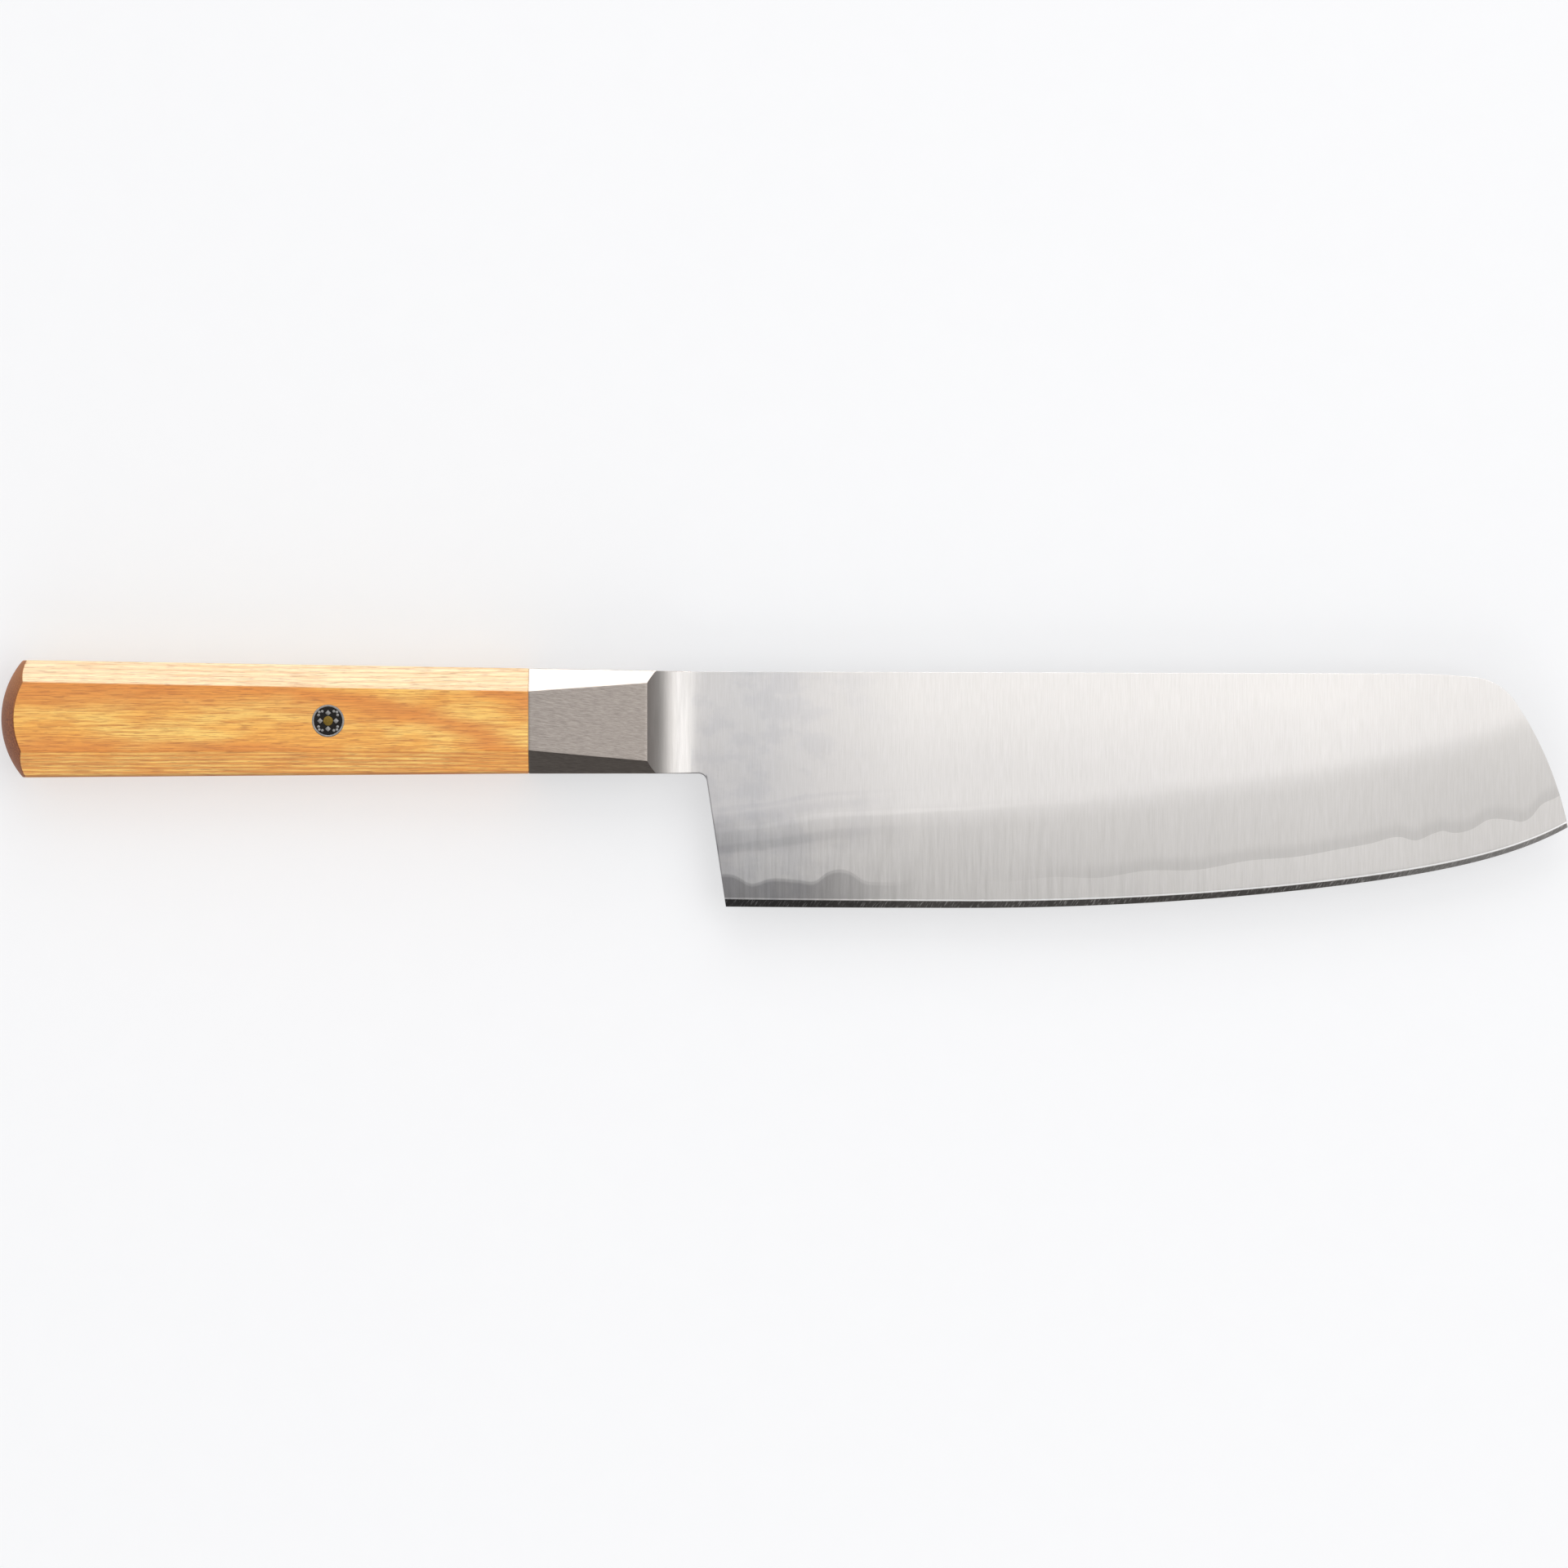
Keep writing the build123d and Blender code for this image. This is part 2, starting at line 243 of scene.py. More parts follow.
material, tree, shader = new_material("pale_floor")
grain = add(tree, "ShaderNodeTexNoise", {"Scale": 900.0, "Detail": 3.0})
paper = blend(grain.outputs[0], seen_colour(243, 244, 247), seen_colour(246, 247, 250))
fill(shader, {"Base Color": paper, "Roughness": 0.9})
glow = add(tree, "ShaderNodeEmission", {"Color": (1.0, 1.0, 1.0, 1.0), "Strength": glow_level})
path = add(tree, "ShaderNodeLightPath")
looked_at = math("MAXIMUM", path.outputs["Is Camera Ray"], path.outputs["Is Glossy Ray"])
looked_at = math("MAXIMUM", looked_at, path.outputs["Is Transmission Ray"])
paled = follow("ShaderNodeMixShader",
               {0: times(looked_at, glow_share), 1: shader.outputs[0], 2: glow.outputs[0]})
fill(tree.nodes["Material Output"], {"Surface": paled.outputs[0]})
floor_mesh.materials.append(material)

# %% [markdown]
# ## From sections to a mesh
#
# Every steel and wooden part here is a section carried along the knife: at each station along the length
# there is one closed ring of points, and all the rings have the same number of points. So a part is an
# array of rings, and its faces join each point to its neighbour on the ring and on the next ring.

# %% Rings to mesh
merge_distance = 1e-6
crease_angle = radians(28)
tiny = 1e-9


def finished(mesh):
    """Merge points that coincide, drop what collapsed, point the faces outwards and mark the creases."""
    work = bmesh.new()
    work.from_mesh(mesh)
    bmesh.ops.remove_doubles(work, verts=work.verts, dist=merge_distance)
    bmesh.ops.dissolve_degenerate(work, edges=work.edges, dist=merge_distance / 10)
    bmesh.ops.recalc_face_normals(work, faces=work.faces)
    open_edges = sum(1 for edge in work.edges if not edge.is_manifold)
    work.to_mesh(mesh)
    work.free()
    mesh.shade_smooth()
    mesh.set_sharp_from_angle(angle=crease_angle)
    return open_edges


def with_x(x, yz):
    """Points from an x, spread over them, and their y and z."""
    return np.concatenate([np.broadcast_to(np.asarray(x)[..., None], (*yz.shape[:-1], 1)), yz], axis=-1)


def with_z(xy, z):
    """Points from their x and y, and a z that is spread over them."""
    return with_x(z, xy)[..., [1, 2, 0]]


def bent(start, corner, end, count):
    """Points on the small curve that rounds a corner between two points: a quadratic from start to end."""
    t = np.linspace(0, 1, count).reshape(-1, *[1] * np.ndim(start))
    return (1 - t) ** 2 * start + 2 * t * (1 - t) * corner + t**2 * end


def in_place(rings):
    """Points given in mm from the drawing's zero, as places in the scene."""
    return rings.reshape(-1, 3) / 1000.0 + zero


def joined(rings, first=0):
    """The faces of a run of rings: quads between neighbours, and the first and last ring as caps."""
    stations, points, _ = rings.shape
    here = np.arange(stations * points).reshape(stations, points) + first
    beside = np.roll(here, -1, axis=1)
    quads = np.stack([here[:-1], beside[:-1], beside[1:], here[1:]], axis=-1).reshape(-1, 4)
    return quads.tolist(), [here[0].tolist(), here[-1].tolist()]


def carried(name, bundles, node, capped=True):
    """A closed piece from arrays of rings: stations, points of a ring, and x, y and z in mm.

    Its ends are capped, or else it is closed on itself. Two UV maps go with it, in mm. A highlight on
    brushed metal spreads in the direction of a map's first number: in one map that is along the knife,
    in the other round the ring.
    """
    places, faces, uvs, count = [], [], [], 0
    for rings in bundles:
        places.append(in_place(rings))
        sides, caps = joined(rings, count)
        faces += sides + (caps if capped else [])
        closed = np.concatenate([rings, rings[:, :1]], axis=1)
        steps = np.linalg.norm(np.diff(closed, axis=1, prepend=closed[:, :1]), axis=2)
        grid = np.concatenate([closed[..., :2], np.cumsum(steps, axis=1)[..., None]], axis=-1)
        quads = np.stack([grid[:-1, :-1], grid[:-1, 1:], grid[1:, 1:], grid[1:, :-1]], axis=2)
        uvs += [quads.reshape(-1, 3)] + ([rings[0], rings[-1]] if capped else [])
        count += len(places[-1])
    mesh = bpy.data.meshes.new(name)
    mesh.from_pydata(np.concatenate(places).tolist(), [], faces)
    flat_uv = np.concatenate(uvs)
    mesh.uv_layers.new(name="along_first").uv.foreach_set("vector", flat_uv[:, :2].ravel())
    mesh.uv_layers.new(name="round_first").uv.foreach_set("vector", flat_uv[:, ::-2].ravel())
    piece = in_scene(name, mesh)
    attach(piece, "root")
    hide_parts(node)
    return piece


def point_values(piece, name, values):
    """Give each point of a piece a number that its material can read as an attribute."""
    piece.data.attributes.new(name, "FLOAT", "POINT").data.foreach_set("value", np.ravel(values))


def close_up(piece):
    """Finish the mesh once its attributes are set, and say how it came out."""
    open_edges = finished(piece.data)
    print(piece.name, "faces", len(piece.data.polygons), "open edges", open_edges)


# %% [markdown]
# ## The sizes of the blade
#
# The blade is a 2 mm plate. Its outline is a straight spine, a nose of three arcs, a cutting edge with a
# slow sweep, and a heel that leans forward. These are the CAD model's numbers and formulas.

# %% Blade sizes
bolster_length, shoulder_half, hollow_radius = 23.2, 6.9, 11.2
plate_half, tip_half, core_half, bevel_half = 1.0, 0.75, 0.3, 0.2
weld_before_hollow_end = 1.3
hollow_end = bolster_length + sqrt(hollow_radius**2 - (hollow_radius - shoulder_half + plate_half) ** 2)
weld = hollow_end - weld_before_hollow_end
neck_rise, neck_drop, spine_fall = 9.7, 10.27, 0.4
choil, choil_radius = weld + 2.8, 1.7
edge_drop, heel_lean, edge_length = 36.6, 4.0, 164.9
heel = choil + heel_lean
tip = heel + edge_length
nose_start = tip - 31.7
nose_bends = ((131.0, radians(5.9)), (11.0, radians(50.0)))
heel_lift, sweep_share, sweep_rise, quick_share, quick_power = 0.25, 0.29, 15.8, 0.28, 9.6
bevel_heights, grind_heights, first_slope = (1.5, 1.0), (16.5, 26.0), 0.4
spine_ease, heel_ease, clear_of_end = 0.06, 0.2, 0.02


def mixed(low, high, share):
    """The value that lies a share of the way from low to high."""
    return low + (high - low) * share


def edge_height(x):
    """The cutting edge: a slight rise at the heel, then a sweep that is part parabola, part quick turn."""
    sweep = heel + sweep_share * edge_length
    before = heel_lift * ((sweep - x) / (sweep - heel)) ** 2 - edge_drop
    along = np.clip((x - sweep) / (tip - sweep), 0.0, None)
    after = sweep_rise * ((1 - quick_share) * along**2 + quick_share * along**quick_power) - edge_drop
    return np.where(x < sweep, before, after)


heel_slope = (edge_drop - neck_drop) / heel_lean
heel_turn = atan(heel_slope)
choil_start = choil - choil_radius * tan(heel_turn / 2)
choil_end = choil_start + choil_radius * sin(heel_turn)


def underside(x):
    """The lower outline: the neck, a round corner, the leaning heel, and then the cutting edge."""
    round_corner = np.sqrt(np.clip(choil_radius**2 - (x - choil_start) ** 2, 0.0, None))
    corner = -neck_drop - choil_radius + round_corner
    leaning = -neck_drop - (x - choil) * heel_slope
    upper = np.where(x < choil_start, -neck_drop, np.where(x < choil_end, corner, leaning))
    return np.maximum(upper, edge_height(x))


def nose_arcs():
    """The nose: each arc starts where the one before ended, in the same direction, and turns downwards.

    Given as centre x, centre y, radius, first x and last x of each arc.
    """
    start = np.array([nose_start, neck_rise - spine_fall])
    turn = atan2(-spine_fall, nose_start - weld)
    arcs = []
    for radius, bend in nose_bends:
        centre = start + radius * np.array([sin(turn), -cos(turn)])
        turn -= bend
        end = centre + radius * np.array([-sin(turn), cos(turn)])
        arcs.append((*centre, radius, start[0], end[0]))
        start = end
    last = np.array([tip, float(edge_height(np.array(tip)))]) - start
    inwards = np.array([sin(turn), -cos(turn)])
    radius = last @ last / (2 * last @ inwards)
    arcs.append((*(start + radius * inwards), radius, start[0], tip))
    return arcs


def upper_outline(x):
    """The spine, which falls a little towards the tip, and then the arcs of the nose."""
    y = neck_rise - spine_fall * (x - weld) / (nose_start - weld)
    for centre_x, centre_y, radius, first, last in nose_arcs():
        arc = centre_y + np.sqrt(np.clip(radius**2 - (x - centre_x) ** 2, 0.0, None))
        y = np.where(x > first, arc, y)
    return y


# %% [markdown]
# ## How thick the blade is
#
# Behind the grind line the plate is flat, and it thins slowly towards the tip. Below the line the grind
# falls in a long convex curve to a thin shoulder, and a narrow cutting bevel ends at nothing. Towards the
# bolster the plate rises in a round hollow. So half the thickness is one formula of x and y, and both
# faces of the blade follow it.

# %% Blade thickness


def plate_height(x):
    """Half the thickness above the grind: a straight taper, and before it the round hollow."""
    taper = mixed(plate_half, tip_half, (x - hollow_end) / (tip - hollow_end))
    reach = np.clip(hollow_end - x, 0.0, hollow_radius)
    hollow = plate_half + hollow_radius - np.sqrt(hollow_radius**2 - reach**2)
    return np.where(x < hollow_end, hollow, taper)


def grind_lines(x):
    """The heights of the cutting edge, the bevel's shoulder and the upper grind line at x."""
    share = (x - heel) / edge_length
    edge = edge_height(x)
    return edge, edge + mixed(*bevel_heights, share), edge + mixed(*grind_heights, share)


def ground_height(x, y):
    """Half the thickness: flat, then an arc that starts gently, then a straight bevel."""
    edge, shoulder, line = grind_lines(x)
    flat = plate_height(x)
    slope = first_slope * (flat - bevel_half) / (line - shoulder)
    length = np.sqrt(1 + slope**2)
    across_y, across_z = slope / length, -1 / length
    step_y, step_z = shoulder - line, bevel_half - flat
    radius = (step_y**2 + step_z**2) / (2 * (step_y * across_y + step_z * across_z))
    centre_y, centre_z = line + radius * across_y, flat + radius * across_z
    convex = centre_z + np.sqrt(np.clip(radius**2 - (y - centre_y) ** 2, 0.0, None))
    bevel = bevel_half * (y - edge) / (shoulder - edge)
    return np.clip(np.where(y > line, flat, np.where(y > shoulder, convex, bevel)), 0.0, flat)


def steepness(outline, x, last):
    """How much longer a vertical step is than one square to the outline, at x or just before the last."""
    x, step = np.minimum(x, last - clear_of_end), 0.01
    slope = (outline(x + step) - outline(x - step)) / (2 * step)
    return np.sqrt(1 + np.clip(slope, -12, 12) ** 2)


def eased_height(x, y):
    """The thickness with its rims rounded: near the outline it drops in a small quarter circle."""
    z = ground_height(x, y)
    above = (upper_outline(x) - y) / steepness(upper_outline, x, tip)
    below = (y - underside(x)) / steepness(underside, x, heel_corner)
    drop = np.zeros_like(z)
    for away, size, here in ((above, spine_ease, True), (below, heel_ease, x < heel_corner)):
        ease = np.minimum(size, 0.5 * z)
        inside = np.where(here, np.clip(away / np.maximum(ease, tiny), 0.0, 1.0), 1.0)
        drop = np.maximum(drop, ease * (1 - np.sqrt(np.clip(1 - (1 - inside) ** 2, 0.0, 1.0))))
    return z - drop


heel_corner = choil + (edge_drop - heel_lift - neck_drop) / heel_slope

# %% [markdown]
# ## The grid of the blade
#
# Stations run from the weld to the tip, closer together at the heel corner and round the nose. On each
# station the rows follow the lines that matter: the edge, the bevel's shoulder, the wavy line where the
# cladding ends, the grind line and the spine. Where the outline cuts a line off, its rows fall together
# on the outline, and the doubled points are merged later.

# %% Blade grid
ease_steps = np.array([0.0, 0.1, 0.3, 0.6, 1.0, 1.2])
wave_height = 7.9
clad_rows, ground_rows, plate_rows = 8, 26, 12
heel_stations, edge_stations, arc_stations = 40, 230, 40
wave = np.array([
    (-0.03, 0.66), (0.010, 0.74), (0.029, 0.54), (0.052, 0.66), (0.086, 0.64), (0.106, 0.62),
    (0.121, 0.84), (0.134, 0.91), (0.147, 0.86), (0.163, 0.65), (0.186, 0.60), (0.209, 0.62),
    (0.234, 0.76), (0.254, 0.63), (0.287, 0.70), (0.330, 0.64), (0.390, 0.74), (0.440, 0.68),
    (0.500, 0.80), (0.560, 0.74), (0.620, 0.86), (0.680, 0.84), (0.725, 0.90), (0.765, 0.94),
    (0.801, 0.99), (0.819, 0.84), (0.840, 0.93), (0.852, 0.95), (0.862, 0.86), (0.885, 0.83),
    (0.905, 0.96), (0.932, 0.79), (0.946, 0.65), (0.958, 0.70), (0.966, 0.85), (0.985, 0.89),
    (1.03, 0.86),
])


def wave_line(x):
    """The wavy line's height: a smooth curve through its points, each piece a cubic with matched slopes."""
    share = np.clip((x - heel) / edge_length, -0.03, 1.03)
    at, height = wave[:, 0], wave[:, 1]
    slope = np.gradient(height, at)
    left = np.clip(np.searchsorted(at, share, side="right") - 1, 0, len(at) - 2)
    width = at[left + 1] - at[left]
    t = (share - at[left]) / width
    curve = (height[left] * (1 + 2 * t) * (1 - t) ** 2 + height[left + 1] * t**2 * (3 - 2 * t)
             + width * t * (1 - t) * (slope[left] * (1 - t) - slope[left + 1] * t))
    return edge_height(x) + curve * wave_height


def stations():
    """Places along the blade: even along the edge, closer at the heel and along the arcs of the nose."""
    spans = [np.linspace(weld, hollow_end, 9), np.linspace(hollow_end, choil_start, 2)]
    turns = np.linspace(0, heel_turn, 12)
    spans += [choil_start + choil_radius * np.sin(turns), heel_corner + np.array([0.02, 0.1])]
    spans += [np.linspace(choil_end, heel_corner, heel_stations)]
    spans += [np.linspace(heel_corner + 0.3, nose_start, edge_stations)]
    for centre_x, _, radius, first, last in nose_arcs():
        ends = [asin((x - centre_x) / radius) for x in (first, last)]
        spans.append(centre_x + radius * np.sin(np.linspace(*ends, arc_stations)))
    return np.unique(np.concatenate(spans).round(6))


def spread(low, high, count):
    """Rows between two lines, from just after the first to the second."""
    shares = np.arange(1, count + 1) / count
    return mixed(low[:, None], high[:, None], shares[None, :])


def blade_rows(x):
    """The height of every row at every station, and the number of the row on the wavy line."""
    edge, shoulder, line = grind_lines(x)
    low, high = underside(x), upper_outline(x)
    on_heel = (x < heel_corner)[:, None]
    lean = steepness(underside, x, heel_corner)[:, None] * heel_ease
    rim = low[:, None] + ease_steps[None, :] * lean
    bevel = mixed(edge[:, None], shoulder[:, None], np.linspace(0, 1, len(ease_steps))[None, :])
    first = np.where(on_heel, rim, bevel)
    lean = steepness(upper_outline, x, tip)[:, None] * spine_ease
    last = high[:, None] - ease_steps[None, ::-1] * lean
    wavy = np.clip(wave_line(x), first[:, -1], np.maximum(last[:, 0], first[:, -1]))
    ground = np.clip(line, wavy, np.maximum(last[:, 0], wavy))
    parts = [first, spread(first[:, -1], wavy, clad_rows), spread(wavy, ground, ground_rows),
             spread(ground, last[:, 0], plate_rows), last]
    rows = np.minimum(np.concatenate(parts, axis=1), high[:, None])
    return np.maximum.accumulate(rows, axis=1), len(ease_steps) + clad_rows - 1


along_blade = stations()
rows, wave_row = blade_rows(along_blade)
station_grid = np.broadcast_to(along_blade[:, None], rows.shape)
outer = eased_height(station_grid, rows)
print("stations", len(along_blade), "rows", rows.shape[1], "thickest half", outer.max().round(3))

# %% [markdown]
# ## Core and claddings
#
# The hard core runs through the whole blade, 0.6 mm thick between the claddings. Below the wavy line it
# comes to the surface and carries the cutting edge. Each cladding is the plate above the wavy line, from
# the core outwards. A section of a piece is a ring: up the one side and down the other.

# %% Core and cladding meshes
least_height, least_step = 0.05, 0.02


def section_rings(x, y, z, z_back):
    """Rings from grids of rows: up the rows at one z, and back down the same rows at another."""
    loop_y = np.concatenate([y, y[:, ::-1]], axis=1)
    loop_z = np.concatenate([z, z_back[:, ::-1]], axis=1)
    return np.stack([np.broadcast_to(x[:, None], loop_y.shape), loop_y, loop_z], axis=-1)


def blade_piece(name, rings, node):
    """A piece whose points carry their heights above the bevel, the wavy line and the grind line."""
    piece = carried(name, [rings], node)
    x, y = rings[..., 0], rings[..., 1]
    _, shoulder, line = grind_lines(x)
    for label, level in (("above_shoulder", shoulder), ("above_wave", wave_line(x)), ("above_grind", line)):
        point_values(piece, label, y - level)
    close_up(piece)
    return piece


core_y = np.concatenate([rows[:, :wave_row + 1], rows[:, wave_row:]], axis=1)
core_z = np.concatenate([outer[:, :wave_row + 1], np.minimum(outer, core_half)[:, wave_row:]], axis=1)
core_rings = section_rings(along_blade, core_y, core_z, -core_z)
blade_core = blade_piece("core_of_blade", core_rings, "blade_core")
# A cladding needs some height above the wavy line, and stands a little out of the core
clad = rows[:, -1] - rows[:, wave_row] > least_height
clad_z = np.maximum(outer[clad, wave_row:], core_half + least_step)
claddings = []
for name, node, side in (("upper_cladding", "cladding_upper", 1), ("lower_cladding", "cladding_lower", -1)):
    clad_rings = section_rings(along_blade[clad], rows[clad, wave_row:], side * clad_z,
                               np.full_like(clad_z, side * core_half))
    claddings.append(blade_piece(name, clad_rings, node))

# %% [markdown]
# ## Octagons with rounded corners
#
# Handle and bolster share one section: an octagon with 45 degree corner flats. To round its corners, each
# side is first moved inwards by the rounding, and then an arc of that radius is drawn round each corner
# of the smaller octagon. Where a corner flat is too short, its two corners fall together, and the arcs
# make one quarter circle, so the same formula also gives the thin section at the blade's root.

# %% Rounded octagon
arc_points = 7
hold, largest_hold = 0.3, 0.3
joint_height, handle_half, corner_flat = 10.3, 9.0, 4.5


def octagon_rings(rise, drop, half, flat, ease, on_flats=2, low_flat=None):
    """Rings (stations, points, y and z) from arrays with one value for each station.

    on_flats is the number of points on each flat. The outer two lie 0.3 mm from the corners, or a share of
    0.3 of a short flat, so that a flat stays flat in its shading.
    """
    low_flat = flat if low_flat is None else low_flat
    around = []
    for up, out in ((1, 1), (-1, 1), (-1, -1), (1, -1)):
        tall, wide = (rise, flat) if up > 0 else (drop, low_flat)
        corner_z = np.minimum(wide - ease * (sqrt(2) - 1), half - ease)
        side_y = np.minimum(tall - ease, tall + wide - ease * sqrt(2) - (half - ease))
        arcs = []
        for y, z, first in ((tall - ease, corner_z, pi / 2), (side_y, half - ease, pi / 4)):
            turns = np.linspace(first, first - pi / 4, arc_points)
            arcs.append(np.stack([up * (y[:, None] + ease[:, None] * np.sin(turns)),
                                  out * (z[:, None] + ease[:, None] * np.cos(turns))], axis=-1))
        around += arcs if up == out else [arc[:, ::-1] for arc in reversed(arcs)]
    points = []
    for arc, following in zip(around, around[1:] + around[:1]):
        start, end = arc[:, -1], following[:, 0]
        length = np.maximum(np.linalg.norm(end - start, axis=1, keepdims=True), tiny)
        inset = (end - start) * np.minimum(hold / length, largest_hold)
        shares = np.linspace(0, 1, on_flats)[None, :, None]
        points += [arc, mixed((start + inset)[:, None], (end - inset)[:, None], shares)]
    return np.concatenate(points, axis=1)


# %% [markdown]
# ## Bolster
#
# The bolster is the octagon in steel. It thins from 18 mm at the handle to 13.8 mm at the shoulder, and
# then a round hollow, as a grinding wheel leaves it, brings it down to the blade. Half its thickness is a
# profile along the knife, with a small round at the shoulder, and the sections follow that profile. Each
# point also carries a number that tells the corner flats apart: 1 towards the spine, -1 towards the edge.

# %% Bolster profile and mesh
round_before, round_after = 0.14, 0.08
bevel_ease, hollow_ease, added_at_neck, neck_starts = 0.3, 0.12, 0.08, 27.0
joint_ease, joint_reach = 0.2, 0.25


def bolster_profile():
    """Stations and half thickness: a straight taper, a small round at the shoulder, then the hollow."""
    before, after = bolster_length - round_before, bolster_length + round_after
    taper_x = np.array([0.0, 0.05, 0.12, 0.25, 0.5, 4.0, 8.0, 12.0, 16.0, 20.0, 22.6, before])
    taper = np.stack([taper_x, mixed(handle_half, shoulder_half, taper_x / bolster_length)], axis=1)
    corner = np.array([bolster_length, shoulder_half])
    start = np.array([after, float(plate_height(np.array(after)))])
    turns = np.linspace(asin((hollow_end - after) / hollow_radius),
                        asin(weld_before_hollow_end / hollow_radius), 60)[1:]
    hollow_x = hollow_end - hollow_radius * np.sin(turns)
    hollow = np.stack([hollow_x, plate_half + hollow_radius * (1 - np.cos(turns))], axis=1)
    return np.concatenate([taper[:-1], bent(taper[-1], corner, start, 6), hollow])


profile = bolster_profile()
share = profile[:, 0] / weld
to_neck = np.clip((profile[:, 0] - neck_starts) / (weld - neck_starts), 0, 1)
ease = np.where(profile[:, 0] < bolster_length, bevel_ease, hollow_ease) + to_neck * added_at_neck
broken = joint_ease * (1 - np.sqrt(1 - np.clip(1 - profile[:, 0] / joint_reach, 0.0, 1.0) ** 2))
sections = octagon_rings(mixed(joint_height, neck_rise, share) - broken,
                         mixed(joint_height, neck_drop, share) - broken,
                         profile[:, 1] - broken, np.full(len(profile), corner_flat), ease)
bolster_rings = with_x(profile[:, :1], sections)
bolster = carried("steel_bolster", [bolster_rings], "bolster")
bevel_side = np.zeros(bolster_rings.shape[1])
for side, towards in ((0, 1.0), (6, 1.0), (2, -1.0), (4, -1.0)):
    start = side * (arc_points + 2)
    bevel_side[start + 3: start + 2 * arc_points - 1] = towards
point_values(bolster, "bevel_side", np.broadcast_to(bevel_side, bolster_rings.shape[:2]))
close_up(bolster)

# %% [markdown]
# ## Handle
#
# One block of cherry. Its octagon grows a little towards the butt, and the butt is a dome turned about the
# handle's middle. Each point of the section runs straight along the handle until it meets the dome. From
# there the rings shrink towards the middle of the dome, with a small round between side and dome. The
# points carry three numbers for the wood: end grain, the painted shade along the two lower corners, and
# the painted highlight on the flats towards the spine.

# %% Handle mesh
handle_length, dome_radius, dome_middle, dome_squeeze = 103.4, 17.7, 0.45, 1.06
butt_rise, butt_drop, butt_upper_flat, butt_lower_flat, corner_ease = 12.0, 11.1, 4.7, 3.9, 0.45
flat_points = 15
butt_and_joint = octagon_rings(*(np.array(pair) for pair in (
    (butt_rise, joint_height), (butt_drop, joint_height), (handle_half, handle_half),
    (butt_upper_flat, corner_flat), (corner_ease, corner_ease))), flat_points,
    np.array([butt_lower_flat, corner_flat]))


def handle_side(x):
    """The side surface at x, for each point of the section: a straight line from butt to joint."""
    return mixed(butt_and_joint[0], butt_and_joint[1], (x + handle_length)[:, None] / handle_length)


def dome(yz):
    """How far along the knife the dome stands: a ball that is squeezed a little over the thickness."""
    away = (yz[..., 0] - dome_middle) ** 2 + (dome_squeeze * yz[..., 1]) ** 2
    return dome_radius - handle_length - np.sqrt(dome_radius**2 - away)


rim_x = np.full(butt_and_joint.shape[1], -handle_length)
for _ in range(6):
    rim_x = dome(handle_side(rim_x))
rim = handle_side(rim_x)
middle = np.array([dome_middle, 0.0])
# A ring close to each end keeps the shading of the long faces even
side_shares = np.concatenate([[0.004], np.linspace(0.02, 0.98, 30), [0.9975]])
side_x = mixed(rim_x[None, :], 0.0, side_shares[:, None])
side_yz = np.stack([handle_side(x) for x in side_x])
dome_shares = np.concatenate([np.sin(np.linspace(0.0, 1.0, 26) * pi / 2)[:-1] * 0.97, [0.972]])
dome_yz = middle + (rim - middle) * dome_shares[:, None, None]
dome_rings, side_rings = with_x(dome(dome_yz), dome_yz), with_x(side_x, side_yz)
rim_rings = bent(dome_rings[-1], with_x(rim_x, rim), side_rings[0], 7)[1:-1]
turns = np.linspace(0, pi / 2, 5)[1:]
end_x, shrink = joint_ease * (np.sin(turns) - 1), joint_ease * (1 - np.cos(turns))
end_yz = octagon_rings(joint_height - shrink, joint_height - shrink, handle_half - shrink,
                       np.full(4, corner_flat), np.full(4, corner_ease), flat_points)
handle_rings = np.concatenate([dome_rings, rim_rings, side_rings, with_x(end_x[:, None], end_yz)])
handle = carried("cherry_handle", [handle_rings], "handle")
end_grain = (np.arange(len(handle_rings)) < len(dome_rings) + 3).astype(float)
per_side, arc_middle = arc_points + flat_points, 3
painted_highlight, painted_corner_shade = np.zeros((2, handle_rings.shape[1]))
# Painted highlight: the top flat and the upper corner flats, which face the light, are painted paler
painted_highlight[:2 * per_side - flat_points - arc_middle] = 1.0
painted_highlight[6 * per_side + arc_middle:] = 1.0
# Painted shade: a dark line along the two lower corners
for side in (3, 4):
    painted_corner_shade[side * per_side:side * per_side + arc_points] = 1.0
# The painted shade line of a corner ends softly on the next point
painted_corner_shade[[3 * per_side - 1, 4 * per_side + arc_points]] = 0.75
for name, values in (("end_grain", end_grain[:, None]), ("painted_highlight", painted_highlight), ("painted_corner_shade", painted_corner_shade)):
    point_values(handle, name, np.broadcast_to(values, handle_rings.shape[:2]))
close_up(handle)

# %% [markdown]
# The handle is bored through for the pin and slotted for the tang, and the bolster is slotted for the
# tang's root. Each cut is a Boolean modifier with a plain cutter, whose result is taken as the new mesh.

# %% Bores and slots


def outline_of_slot(height, thickness, corner, count=7):
    """A rectangle with round corners, as y and z: one quarter circle at each corner."""
    turns = np.linspace(0, pi / 2, count)
    quarters = []
    for n, (side_y, side_z) in enumerate(((1, 1), (-1, 1), (-1, -1), (1, -1))):
        angle = turns + n * pi / 2
        quarters.append(np.stack([side_y * (height / 2 - corner) + corner * np.cos(angle),
                                  side_z * (thickness / 2 - corner) + corner * np.sin(angle)], axis=-1))
    return np.concatenate(quarters)


def cutter(rings):
    """A closed mesh object in the scene, only to cut with."""
    mesh = bpy.data.meshes.new("cutter")
    sides, caps = joined(rings)
    mesh.from_pydata(in_place(rings).tolist(), [], sides + caps)
    finished(mesh)
    return in_scene("cutter", mesh)


